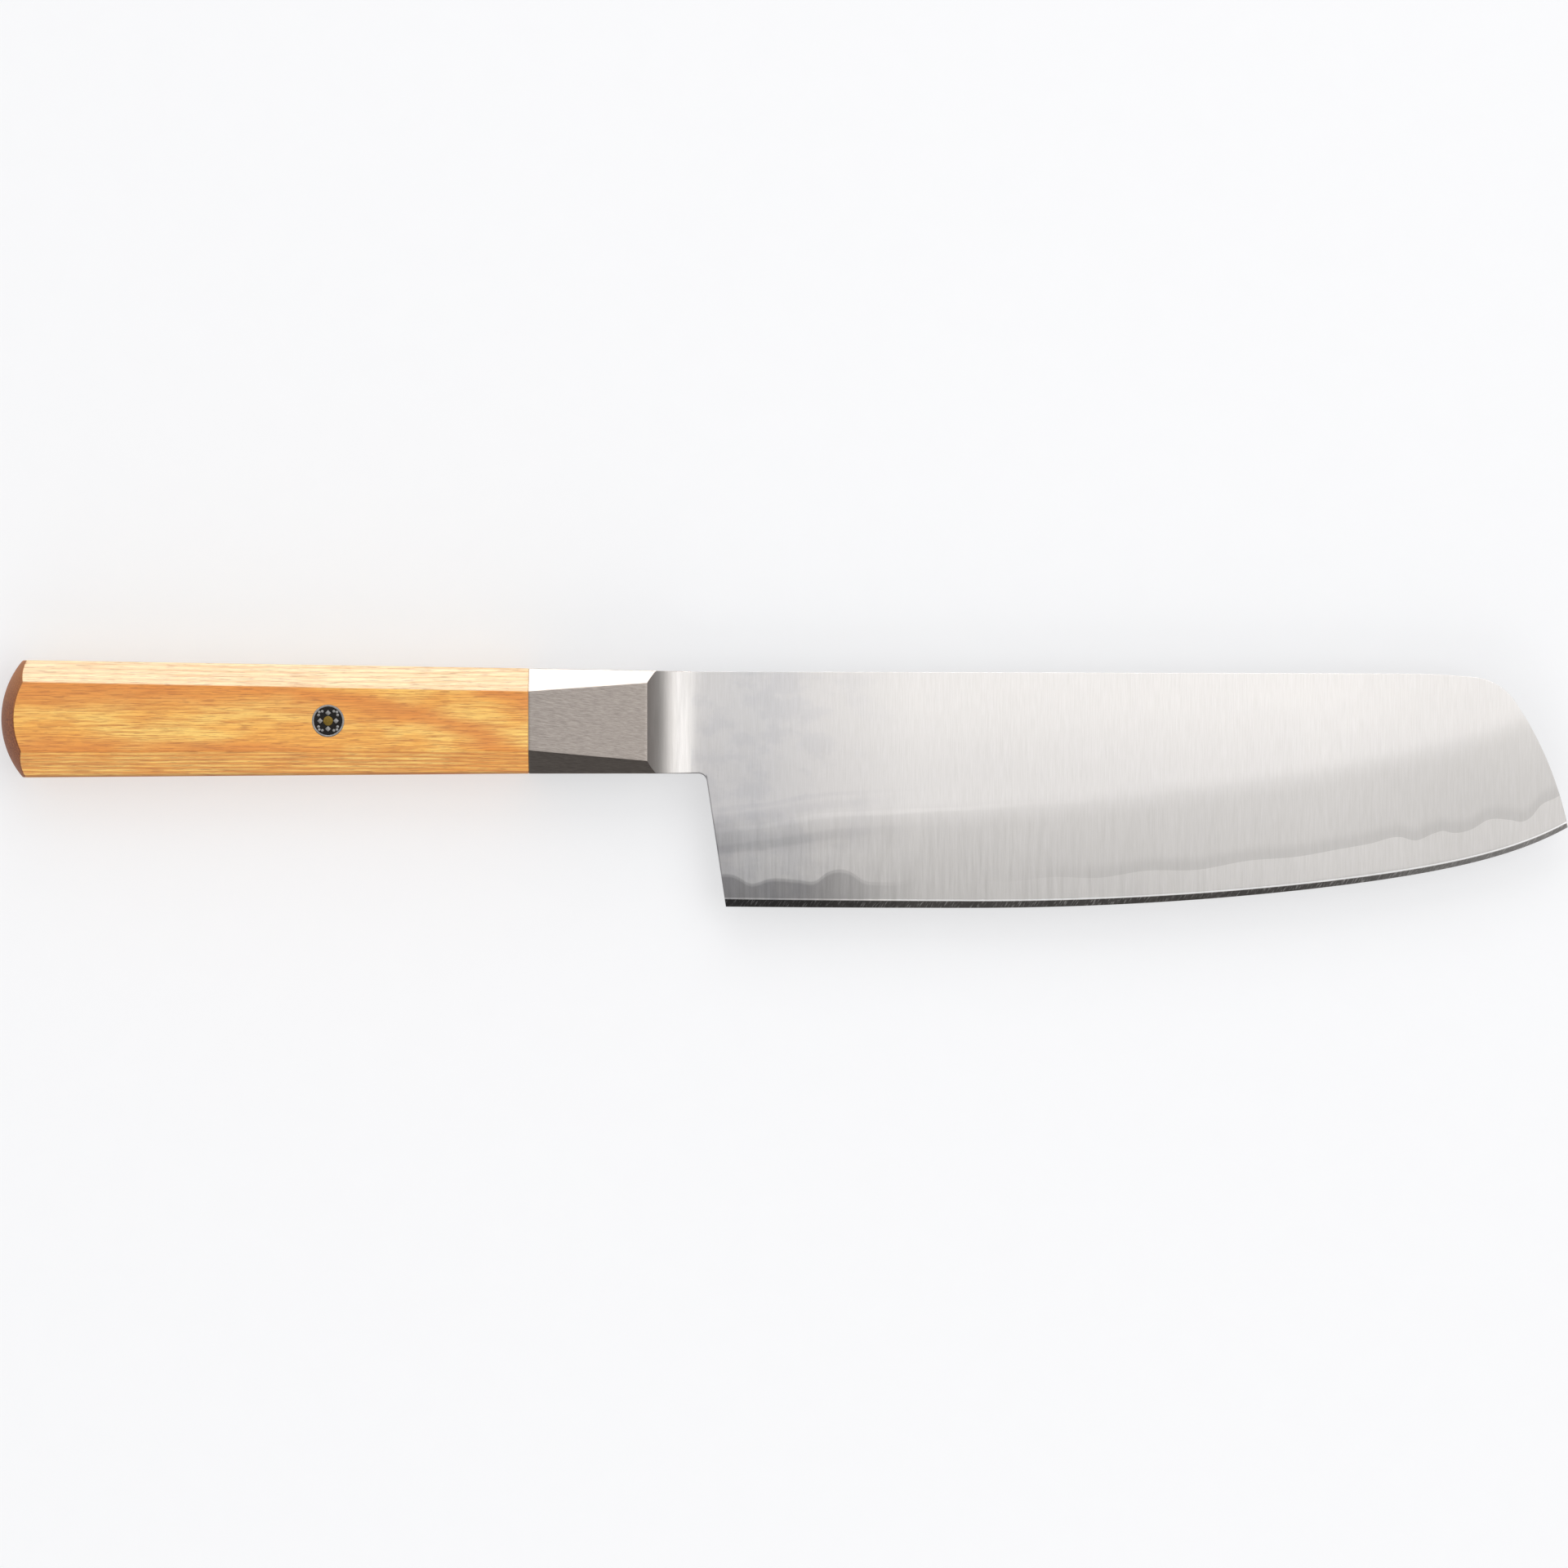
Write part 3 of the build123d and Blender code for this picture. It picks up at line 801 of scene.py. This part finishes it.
def cut_out(piece, rings):
    """Take the cutter's space out of a piece: the modifier's result becomes the mesh."""
    tool = cutter(rings)
    change = piece.modifiers.new("cut", "BOOLEAN")
    change.operation, change.solver, change.object = "DIFFERENCE", "EXACT", tool
    bpy.context.view_layer.update()
    made = bpy.data.meshes.new_from_object(piece.evaluated_get(bpy.context.evaluated_depsgraph_get()))
    piece.modifiers.clear()
    piece.data = made
    made.name = piece.name
    bpy.data.objects.remove(tool)
    made.set_sharp_from_angle(angle=crease_angle)
    print(piece.name, "after the cut: faces", len(made.polygons))


def along_x(outline, start, end):
    """Rings of a y and z outline at two places along the knife."""
    return np.stack([with_x(x, outline) for x in (start, end)])


def circle(radius, count=96):
    """Points on a circle about the origin."""
    turns = np.arange(count) * 2 * pi / count
    return radius * np.stack([np.cos(turns), np.sin(turns)], axis=-1)


pin_x, hole_radius, past_handle = -39.1, 3.17, 12.0
mortise_height, mortise_thickness, mortise_corner, mortise_end = 11.2, 4.2, 1.2, -70.6
seat_height, seat_thickness, seat_corner, seat_end = 10.0, 3.0, 0.05, 5.0
past_joint = 3.0
hole = circle(hole_radius) + np.array([pin_x, 0.0])
pin_cut = np.stack([with_z(hole, z) for z in (-past_handle, past_handle)])
mortise = outline_of_slot(mortise_height, mortise_thickness, mortise_corner)
cut_out(handle, along_x(mortise, mortise_end, past_joint))
cut_out(handle, pin_cut)
cut_out(bolster, along_x(outline_of_slot(seat_height, seat_thickness, seat_corner), -past_joint, seat_end))

# %% [markdown]
# ## Mosaic pin
#
# A thin tube of nickel silver is packed with rods and filled with black resin, and the whole is sawn and
# sanded flush with the wood. Each rod is an outline carried through the handle, its ends a little
# rounded. The tube is a small rectangle with round corners, turned about the pin's axis.

# %% Pin pieces
pin_radius, pin_bore, pin_half = 3.15, 2.77, 9.0
centre_radius, square_size, round_radius = 0.95, 0.8, 0.28
rod_ease, tube_ease, square_ease = 0.05, 0.06, 0.08
square_gap, wall_gap, rod_pitch, rod_aside = 0.04, 0.05, 0.61, 0.52


def rod_rings(outline, x, y):
    """A rod along Z: the outline shrinks by a few hundredths at both ends, in a quarter circle."""
    turns = np.linspace(0, pi / 2, 5)
    heights, shrinks = pin_half - rod_ease * (1 - np.sin(turns)), rod_ease * (1 - np.cos(turns))
    size = np.abs(outline).max()
    z = np.concatenate([-heights[::-1], heights])
    scale = 1 - np.concatenate([shrinks[::-1], shrinks]) / size
    flat = outline[None] * scale[:, None, None] + np.array([pin_x + x, y])
    return with_z(flat, z[:, None])


def tube_rings():
    """The tube: a slim upright rectangle with rounded corners, turned about the pin's axis."""
    section = outline_of_slot(pin_radius - pin_bore, 2 * pin_half, tube_ease, 5)
    turns = np.linspace(0, 2 * pi, 97)[:, None]
    radius = (pin_radius + pin_bore) / 2 + section[:, 0]
    round_pin = np.stack([pin_x + radius * np.cos(turns), radius * np.sin(turns)], axis=-1)
    return with_z(round_pin, section[:, 1])


ring = centre_radius + square_gap + square_size / sqrt(2)
diamond = outline_of_slot(square_size, square_size, square_ease, 4) @ np.array([[1, 1], [-1, 1]]) / sqrt(2)
square_rods = [rod_rings(diamond, ring * cos(a), ring * sin(a)) for a in (0, pi / 2, pi, 3 * pi / 2)]
outer_ring = pin_bore - wall_gap - round_radius
inner_ring = outer_ring - sqrt(rod_pitch**2 - rod_aside**2)
round_rods = []
for a in (pi / 4, 3 * pi / 4, 5 * pi / 4, 7 * pi / 4):
    for out, aside in ((outer_ring, 0), (inner_ring, rod_aside), (inner_ring, -rod_aside)):
        x, y = out * cos(a) - aside * sin(a), out * sin(a) + aside * cos(a)
        round_rods.append(rod_rings(circle(round_radius, 24), x, y))
centre_rod = rod_rings(circle(centre_radius, 48), 0, 0)
pin_pieces = {
    "tube_of_pin": carried("tube_of_pin", [tube_rings()], "pin_tube", capped=False),
    "middle_rod": carried("middle_rod", [centre_rod], "pin_centre_rod"),
    "square_rods": carried("square_rods", square_rods, "pin_square_rods"),
    "round_rods": carried("round_rods", round_rods, "pin_round_rods"),
}
for piece in pin_pieces.values():
    close_up(piece)

# %% [markdown]
# ## Finishes: shared node groups
#
# Brushing is thousands of fine scratches in one direction. A noise that is stretched a long way in one
# direction gives the same look, as a value that varies across the scratches. The group reads millimetres,
# so its scales can be compared with the real thing.

# %% Node group helpers
VALUE, VECTOR = "NodeSocketFloat", "NodeSocketVector"


def new_group(name, inputs, outputs):
    """A shader node group and its two end nodes. Inputs have a kind and a value. Outputs are numbers."""
    group = bpy.data.node_groups.new(name, "ShaderNodeTree")
    for label, kind, value in inputs:
        socket = group.interface.new_socket(label, in_out="INPUT", socket_type=kind)
        if value is not None:
            socket.default_value = value
    for label in outputs:
        group.interface.new_socket(label, in_out="OUTPUT", socket_type=VALUE)
    return group, group.nodes.new("NodeGroupInput"), group.nodes.new("NodeGroupOutput")


def stretched(place, factors):
    """Coordinates multiplied by a factor each: a small one draws a pattern out that way."""
    return follow("ShaderNodeVectorMath", {0: place, 1: factors}, operation="MULTIPLY").outputs[0]


def stretched_noise(place, factors, detail, roughness=0.5, distortion=0.0):
    """Noise on stretched coordinates."""
    inputs = {"Vector": stretched(place, factors), "Scale": 1.0, "Detail": detail,
              "Roughness": roughness, "Distortion": distortion}
    return follow("ShaderNodeTexNoise", inputs).outputs[0]


# %% Brushing group
brushing, given, result = new_group(
    "brushed_scratches",
    [("Place", VECTOR, None), ("Stretch", VECTOR, (8.0, 0.2, 8.0)), ("Coarse", VALUE, 0.3)],
    ["Fine", "Broad", "Height"])
place, stretch, coarse = (given.outputs[name] for name in ("Place", "Stretch", "Coarse"))
fine = stretched_noise(place, stretch, 4.0, 0.6)
broad = stretched_noise(stretched(place, stretch), coarse, 2.0)
both = math("MULTIPLY_ADD", fine, 0.7, times(broad, 0.3))
fill(result, {"Fine": fine, "Broad": broad, "Height": both})

# %% Metals and tints
scratch_depth, scratch_strength, roughness_span = 0.00001, 0.3, 0.04


def millimetres(tree):
    """The piece's own coordinates, in millimetres."""
    own = add(tree, "ShaderNodeTexCoord").outputs["Object"]
    return follow("ShaderNodeVectorMath", {0: own, "Scale": 1000.0}, operation="SCALE").outputs[0]


def place_on(tree, axis):
    """Where a point lies on an axis, in mm. X runs along the knife, from its middle, and Y to the spine."""
    return follow("ShaderNodeSeparateXYZ", {0: millimetres(tree)}).outputs[axis]


def leaning(tree, angle):
    """The piece's own coordinates in mm, turned in the plane of the knife's side."""
    inputs = {"Vector": millimetres(tree), "Angle": angle}
    return follow("ShaderNodeVectorRotate", inputs, rotation_type="Z_AXIS").outputs[0]


def number_on(tree, name):
    """A number that the piece carries at each of its points."""
    return add(tree, "ShaderNodeAttribute", attribute_name=name).outputs["Fac"]


def close_to(value, level, near, far):
    """A mask that is 1 up to a near distance from a level, and fades to 0 at a far one."""
    return fade(math("ABSOLUTE", math("SUBTRACT", value, level)), near, far)


def brushed_metal(name, dark, light, roughness, stretch, coarse=0.3, spread=0.0, spread_map="along_first",
                  lean=0.0):
    """A brushed metal: streaks between two seen colours, roughness that follows them, and fine scratches.

    spread is how far highlights are drawn out across the scratches, along the first number of a UV map.
    lean turns the scratches in the plane of the knife's side.
    """
    material, tree, shader = new_material(name)
    inputs = {"Place": leaning(tree, lean), "Stretch": stretch, "Coarse": coarse}
    marks = add(tree, "ShaderNodeGroup", inputs, node_tree=brushing).outputs
    share = math("MULTIPLY_ADD", marks["Fine"], 0.75, times(marks["Broad"], 0.25))
    colour = blend(ramp(share, 0.3, 0.7), seen_colour(*dark), seen_colour(*light))
    rough = ramp(marks["Broad"], 0.3, 0.7, roughness - roughness_span, roughness + roughness_span)
    tangent = add(tree, "ShaderNodeTangent", direction_type="UV_MAP", uv_map=spread_map)
    inputs = {"Strength": scratch_strength, "Distance": scratch_depth, "Height": marks["Height"]}
    bump = follow("ShaderNodeBump", inputs)
    fill(shader, {"Base Color": colour, "Roughness": rough, "Metallic": 1.0, "Anisotropic": spread,
                  "Tangent": tangent.outputs[0], "Normal": bump.outputs[0]})
    return material


def grey(level, more_blue=0.0):
    """A grey tint, whose blue can stand a little apart. A level of 1 leaves a colour as it is."""
    return (level, level, level + more_blue, 1.0)


def multiply_colour(material, tint):
    """Multiply a finish's colour by a tint."""
    shader = material.node_tree.nodes["Principled BSDF"]
    before = shader.inputs["Base Color"].links[0].from_socket
    fill(shader, {"Base Color": blend(1.0, before, tint, "MULTIPLY")})


def shade_by(material, value, low, high, dark, light=grey(1.0)):
    """Multiply a finish's colour by a tint that changes softly while a value goes from low to high."""
    multiply_colour(material, blend(ramp(value, low, high), dark, light))


def shade_where(material, tint, mask, limit=1.0):
    """Multiply a finish's colour by a tint where a mask and a second one that limits it are 1."""
    shade_by(material, times(mask, limit), 0.0, 1.0, grey(1.0), tint)


def shade_along(material, stops):
    """Multiply a finish's colour by tints that stand at places along the knife, with straight changes."""
    low, high = stops[0][0], stops[-1][0]
    x = place_on(material.node_tree, "X")
    share = math("DIVIDE", math("SUBTRACT", x, low), high - low)
    tints = follow("ShaderNodeValToRGB", {"Fac": share})
    elements = tints.color_ramp.elements
    elements.remove(elements[1])
    for n, (at, tint) in enumerate(stops):
        element = elements[0] if n == 0 else elements.new((at - low) / (high - low))
        element.position, element.color = (at - low) / (high - low), (*tint, 1.0)
    multiply_colour(material, tints.outputs[0])


def dress(node, material):
    """Give a CAD node this material in all its slots."""
    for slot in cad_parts[node].material_slots:
        slot.material = material


# %% [markdown]
# ## The blade's steel
#
# The blade is ground and brushed across its length, so its highlights are drawn out along it. Along the
# blade the steel mirrors darker and lighter parts of a room. These broad tones are painted reflection:
# tints at places along the knife, nearly black at the foot of the hollow, then pale, grey behind the heel,
# and bright further on.

# %% Blade finishes
across_blade, blade_roughness, blade_spread = (5.0, 0.22, 1.0), 0.36, 0.8
blade_dark, blade_light = (221, 218, 215), (230, 227, 225)
# Painted reflection: tints along the knife for the darker and lighter parts of the room that the steel
# mirrors
painted_reflection_tints = [(-26.6, (0.36, 0.34, 0.33)), (-24.6, (0.47, 0.46, 0.45)), (-22.6, (0.83, 0.82, 0.81)),
               (-20.8, (0.88, 0.88, 0.88)), (-18.8, (0.88, 0.88, 0.88)), (-15.6, (0.78, 0.785, 0.80)),
               (-6.0, (0.77, 0.78, 0.80)), (8.0, (0.89, 0.89, 0.895)), (26.0, (1.0, 1.0, 1.0)),
               (105.0, (1.0, 1.0, 1.0)), (132.0, (0.93, 0.93, 0.93))]


def blade_steel(name):
    """Steel brushed across the blade, with the broad tones of painted reflection along it."""
    material = brushed_metal(name, blade_dark, blade_light, blade_roughness, across_blade,
                             spread=blade_spread)
    shade_along(material, painted_reflection_tints)
    return material


cladding_finish = blade_steel("brushed_cladding")
core_finish = blade_steel("brushed_core")
hollow_finish = blade_steel("brushed_hollow")

# %% [markdown]
# The grinding leaves its own marks on the blade, and light is painted on it too. Below the grind line the
# steel is painted a little darker, and towards the spine a little lighter, as painted reflection. At the
# heel side soft darker and lighter bands follow the grind line. At the wavy line the cladding ends in a
# feather edge. The harder core below it is darker near the heel and lighter towards the tip. A thin
# painted highlight runs above the bevel, and the bevel itself is painted dark, a painted reflection of the
# dark front, with lighter scratches that lean.

# %% Marks of the grinding, and painted light on the blade
droop, wobble_size = 2.2, 1.6
bands = ((-3.2, 0.2, 1.6, 0.89), (2.6, 0.1, 1.8, 0.93), (4.6, 0.1, 0.8, 0.95))
bevel_lean, scratch_share, painted_glint_height = radians(35), 0.45, 0.14


def near_heel(tree):
    """A mask that is 1 at the heel and fades towards the middle of the blade."""
    return fade(place_on(tree, "X"), -4.0, 36.0)


for finish in (cladding_finish, core_finish):
    tree = finish.node_tree
    x, above_grind = place_on(tree, "X"), number_on(tree, "above_grind")
    heel_mask = near_heel(tree)
    # Painted reflection: lighter towards the spine, and darker below the grind line
    shade_by(finish, place_on(tree, "Y"), -2.0, 21.0, grey(0.93, 0.005), grey(1.05))
    shade_by(finish, above_grind, -4.2, 2.4, grey(0.88, -0.005))
    drooping = math("ADD", above_grind, ramp(x, -14.0, 12.0, droop, 0.0))
    wobble = stretched_noise(millimetres(tree), (0.06, 0.3, 0.3), 2.0)
    drooping = math("MULTIPLY_ADD", wobble, wobble_size, math("SUBTRACT", drooping, wobble_size / 2))
    for level, near, far, shade in bands:
        shade_where(finish, grey(shade, 0.01), close_to(drooping, level, near, far), heel_mask)
    shade_where(finish, grey(1.06), close_to(drooping, 0.4, 0.1, 0.8), fade(x, 10.0, 70.0))
    shade_where(finish, grey(1.11), fade(above_grind, -7.5, -4.0), heel_mask)
    patches = ramp(stretched_noise(millimetres(tree), (0.12, 0.16, 0.16), 4.0, 0.6), 0.4, 0.62)
    shade_where(finish, (0.93, 0.935, 0.95, 1.0), patches, fade(x, -10.0, 30.0, 0.2))
    shade_where(finish, grey(0.87, 0.01), fade(x, -14.0, -6.0), fade(above_grind, -4.0, 4.0))

tree = cladding_finish.node_tree
x, above_wave = place_on(tree, "X"), number_on(tree, "above_wave")
shade_where(cladding_finish, grey(0.90), fade(above_wave, 0.4, 4.0), ramp(x, 30.0, 80.0))
shade_where(cladding_finish, grey(0.72, 0.01), fade(above_wave, 0.0, 0.6), near_heel(tree))

tree = core_finish.node_tree
x, above_shoulder = place_on(tree, "X"), number_on(tree, "above_shoulder")
below_wave = fade(number_on(tree, "above_wave"), -0.6, 0.0, 0.6)
shade_where(core_finish, grey(0.54, 0.01), below_wave, near_heel(tree))
shade_by(core_finish, x, 20.0, 120.0, grey(1.0), grey(1.08))
# Painted highlight: a thin bright line just above the bevel's shoulder
shade_where(core_finish, grey(1.9, -0.02), close_to(above_shoulder, painted_glint_height, 0.06, 0.2))
# Painted reflection: the bevel is painted dark, less so towards the tip, and the leaning scratches lighten
# it
scratches = ramp(stretched_noise(leaning(tree, bevel_lean), (5.0, 0.6, 1.0), 2.0), 0.5, 0.7)
painted_dark_bevel = times(fade(above_shoulder, -0.10, 0.02), math("MULTIPLY_ADD", scratches, -scratch_share, 1.0))
shade_where(core_finish, (0.17, 0.165, 0.16, 1.0), painted_dark_bevel, fade(x, 80.0, 150.0, 0.5))

# %% [markdown]
# The bolster is brushed along the knife, a little aslant. Its upper corner flats mirror the light and its
# lower ones the dark front, so its colour is painted brighter on the first, a painted highlight, and
# darker on the second, a painted reflection of the dark. The hollow is brushed like the blade. The tang
# keeps the dull skin of the rolling mill.

# %% Other steel finishes
bolster_finish = brushed_metal("brushed_bolster", (146, 138, 132), (182, 173, 166), 0.38, (0.03, 8.0, 8.0),
                               coarse=0.6, spread=0.3, spread_map="round_first", lean=radians(7))
painted_light_side = number_on(bolster_finish.node_tree, "bevel_side")
# Painted highlight on the upper corner flats, and painted dark reflection on the lower ones
shade_by(bolster_finish, painted_light_side, 0.0, 1.0, grey(1.0), grey(1.5))
shade_by(bolster_finish, painted_light_side, -1.0, 0.0, (0.38, 0.37, 0.36, 1.0))
tang_finish = brushed_metal("mill_scale_tang", (110, 108, 106), (140, 138, 135), 0.5, (0.3, 3.0, 3.0))
dress("tang", tang_finish)
for piece, finish in ((claddings[0], cladding_finish), (claddings[1], cladding_finish),
                      (blade_core, core_finish), (bolster, bolster_finish), (bolster, hollow_finish)):
    piece.data.materials.append(finish)


def of_faces(mesh, what):
    """A vector of each face of a mesh: its center or its normal."""
    values = np.empty(len(mesh.polygons) * 3)
    mesh.polygons.foreach_get(what, values)
    return values.reshape(-1, 3)


past_shoulder = of_faces(bolster.data, "center")[:, 0] > zero[0] + bolster_length / 1000.0
on_wide_side = np.abs(of_faces(bolster.data, "normal")[:, 1]) < 0.5
bolster.data.polygons.foreach_set("material_index", (past_shoulder & on_wide_side).astype(np.int32))

# %% [markdown]
# The pin's metals were sanded with the handle, so they are plain and satin, and the brass has darkened.
# The resins are even, with a faint speckle.

# %% Pin and resin finishes
nickel_finish = brushed_metal("nickel_silver", (140, 138, 137), (172, 170, 168), 0.32, (3.0, 3.0, 1.0))
brass_finish = brushed_metal("old_brass", (118, 96, 40), (146, 120, 58), 0.36, (3.0, 3.0, 1.0))
for name, piece in pin_pieces.items():
    piece.data.materials.append(brass_finish if name == "middle_rod" else nickel_finish)


def speckled(name, dark, light, scale, detail, smooth, rough):
    """A resin: soft specks between two seen colours, and a roughness that follows them."""
    material, tree, shader = new_material(name)
    specks = stretched_noise(millimetres(tree), (scale, scale, scale), detail)
    fill(shader, {"Base Color": blend(specks, seen_colour(*dark), seen_colour(*light)),
                  "Roughness": ramp(specks, 0.3, 0.7, smooth, rough)})
    return material, shader


black_resin, shader = speckled("black_resin", (8, 7, 7), (30, 26, 23), 3.0, 3.0, 0.25, 0.4)
fill(shader, {"Specular IOR Level": 0.2})
dress("pin_resin", black_resin)
bedding_resin, _ = speckled("bedding_resin", (120, 100, 74), (160, 138, 106), 1.5, 4.0, 0.35, 0.55)
dress("tang_bedding", bedding_resin)

# %% [markdown]
# ## Cherry wood
#
# The block is sawn so that its growth rings lie almost flat under the wide faces. There a ring is cut at
# a very small angle, and it shows as a broad, soft, wandering band. On the corner flats the same rings are
# cut at 45 degrees, and they show as close parallel lines. A single formula in the block does both: the
# height in the block, tilted a little, bowed along the handle and bent by a slow noise, and counted in ring
# widths. Over it lie fine fibres and short dark pores along the handle. The flats towards the spine are
# painted paler, as a painted highlight, and the two lower corners carry a painted dark line of shade. At
# the butt the fibres end, and the wood is darker, with painted light making it paler towards the spine.

# %% Wood group
ring_tilt, ring_bow, bow_start = 0.07, 2.35e-6, 126.4
wood, given, result = new_group(
    "ringed_wood",
    [("Place", VECTOR, None), ("Ring width", VALUE, 0.8), ("Wander", VALUE, 3.0), ("Phase", VALUE, 0.0)],
    ["Rings", "Fibres", "Pores", "Clouds"])
place = given.outputs["Place"]
inputs = {0: place, 1: (0.0, ring_tilt, 1.0)}
tilted = follow("ShaderNodeVectorMath", inputs, operation="DOT_PRODUCT").outputs["Value"]
x = follow("ShaderNodeSeparateXYZ", {0: place}).outputs["X"]
from_start = math("MAXIMUM", math("ADD", x, bow_start), 0.0)
bowed = math("MULTIPLY_ADD", math("POWER", from_start, 3.0), ring_bow, tilted)
bend = times(stretched_noise(place, (0.03, 0.14, 0.05), 3.0), given.outputs["Wander"])
count = math("DIVIDE", math("ADD", bowed, bend), given.outputs["Ring width"])
count = math("ADD", count, given.outputs["Phase"])
ring_wave = math("SINE", times(count, 2 * pi))
pores = stretched_noise(place, (0.28, 5.4, 5.4), 2.0)
fill(result, {"Rings": math("POWER", math("MULTIPLY_ADD", ring_wave, 0.5, 0.5), 1.6),
              "Fibres": stretched_noise(place, (0.10, 3.8, 3.8), 5.0, 0.7),
              "Pores": ramp(pores, 0.54, 0.64),
              "Clouds": stretched_noise(place, (0.05, 0.16, 0.16), 3.0, 0.6, 0.6)})

# %% Cherry finish
ring_width, wander = 0.85, 0.7
upper_face, band_height = 18.0, 18.4
band_at_butt = upper_face + ring_tilt * band_height + wander / 2
material, tree, shader = new_material("oiled_cherry")
figure = add(tree, "ShaderNodeGroup",
             {"Place": millimetres(tree), "Ring width": ring_width, "Wander": wander,
              "Phase": 0.25 - band_at_butt / ring_width % 1.0}, node_tree=wood)
rings, fibres, pores, clouds = (figure.outputs[name] for name in ("Rings", "Fibres", "Pores", "Clouds"))
pale, ends = number_on(tree, "painted_highlight"), number_on(tree, "end_grain")
base = blend(ramp(clouds, 0.35, 0.65), seen_colour(248, 180, 76), seen_colour(255, 212, 112))
ringed = blend(times(rings, 0.85), base, seen_colour(226, 136, 46))
# Painted highlight: paler rings and fewer fibres on the flats towards the spine
pale_rings = blend(times(rings, 0.6), seen_colour(255, 236, 196), seen_colour(244, 204, 142))
ringed = blend(times(pale, 0.74), ringed, pale_rings)
fibre_share = times(ramp(fibres, 0.44, 0.58), ramp(pale, 0.0, 1.0, 0.66, 0.4))
fibre_colour = blend(pale, seen_colour(206, 126, 44), seen_colour(218, 156, 80))
fibred = blend(fibre_share, ringed, fibre_colour)
pored = blend(times(pores, 0.5), fibred, seen_colour(160, 84, 24))
# Painted shade: a dark line along the two lower corners
pored = blend(times(number_on(tree, "painted_corner_shade"), 0.6), pored, seen_colour(110, 52, 18))
dots = ramp(stretched_noise(millimetres(tree), (0.3, 3.5, 3.5), 3.0, 0.6), 0.35, 0.65)
end_colour = blend(dots, seen_colour(114, 57, 24), seen_colour(154, 89, 42))
end_colour = blend(times(rings, 0.35), end_colour, seen_colour(84, 42, 22))
# Painted light: the end grain is paler towards the spine
painted_light_near_spine = ramp(place_on(tree, "Y"), 12.0, 24.0, 0.0, 0.45)
end_colour = blend(painted_light_near_spine, end_colour, seen_colour(202, 132, 72))
sheen = ramp(fibres, 0.3, 0.7, 0.36, 0.5)
relief = math("SUBTRACT", times(fibres, -0.4), pores)
bump = follow("ShaderNodeBump", {"Strength": 0.35, "Distance": 0.00002, "Height": relief})
fill(shader, {"Base Color": blend(ends, pored, end_colour),
              "Roughness": math("MULTIPLY_ADD", ends, 0.2, sheen),
              "Coat Weight": ramp(ends, 0.0, 1.0, 0.8, 0.0),
              "Coat Roughness": 0.28, "Specular IOR Level": 0.5, "Normal": bump.outputs[0]})
handle.data.materials.append(material)
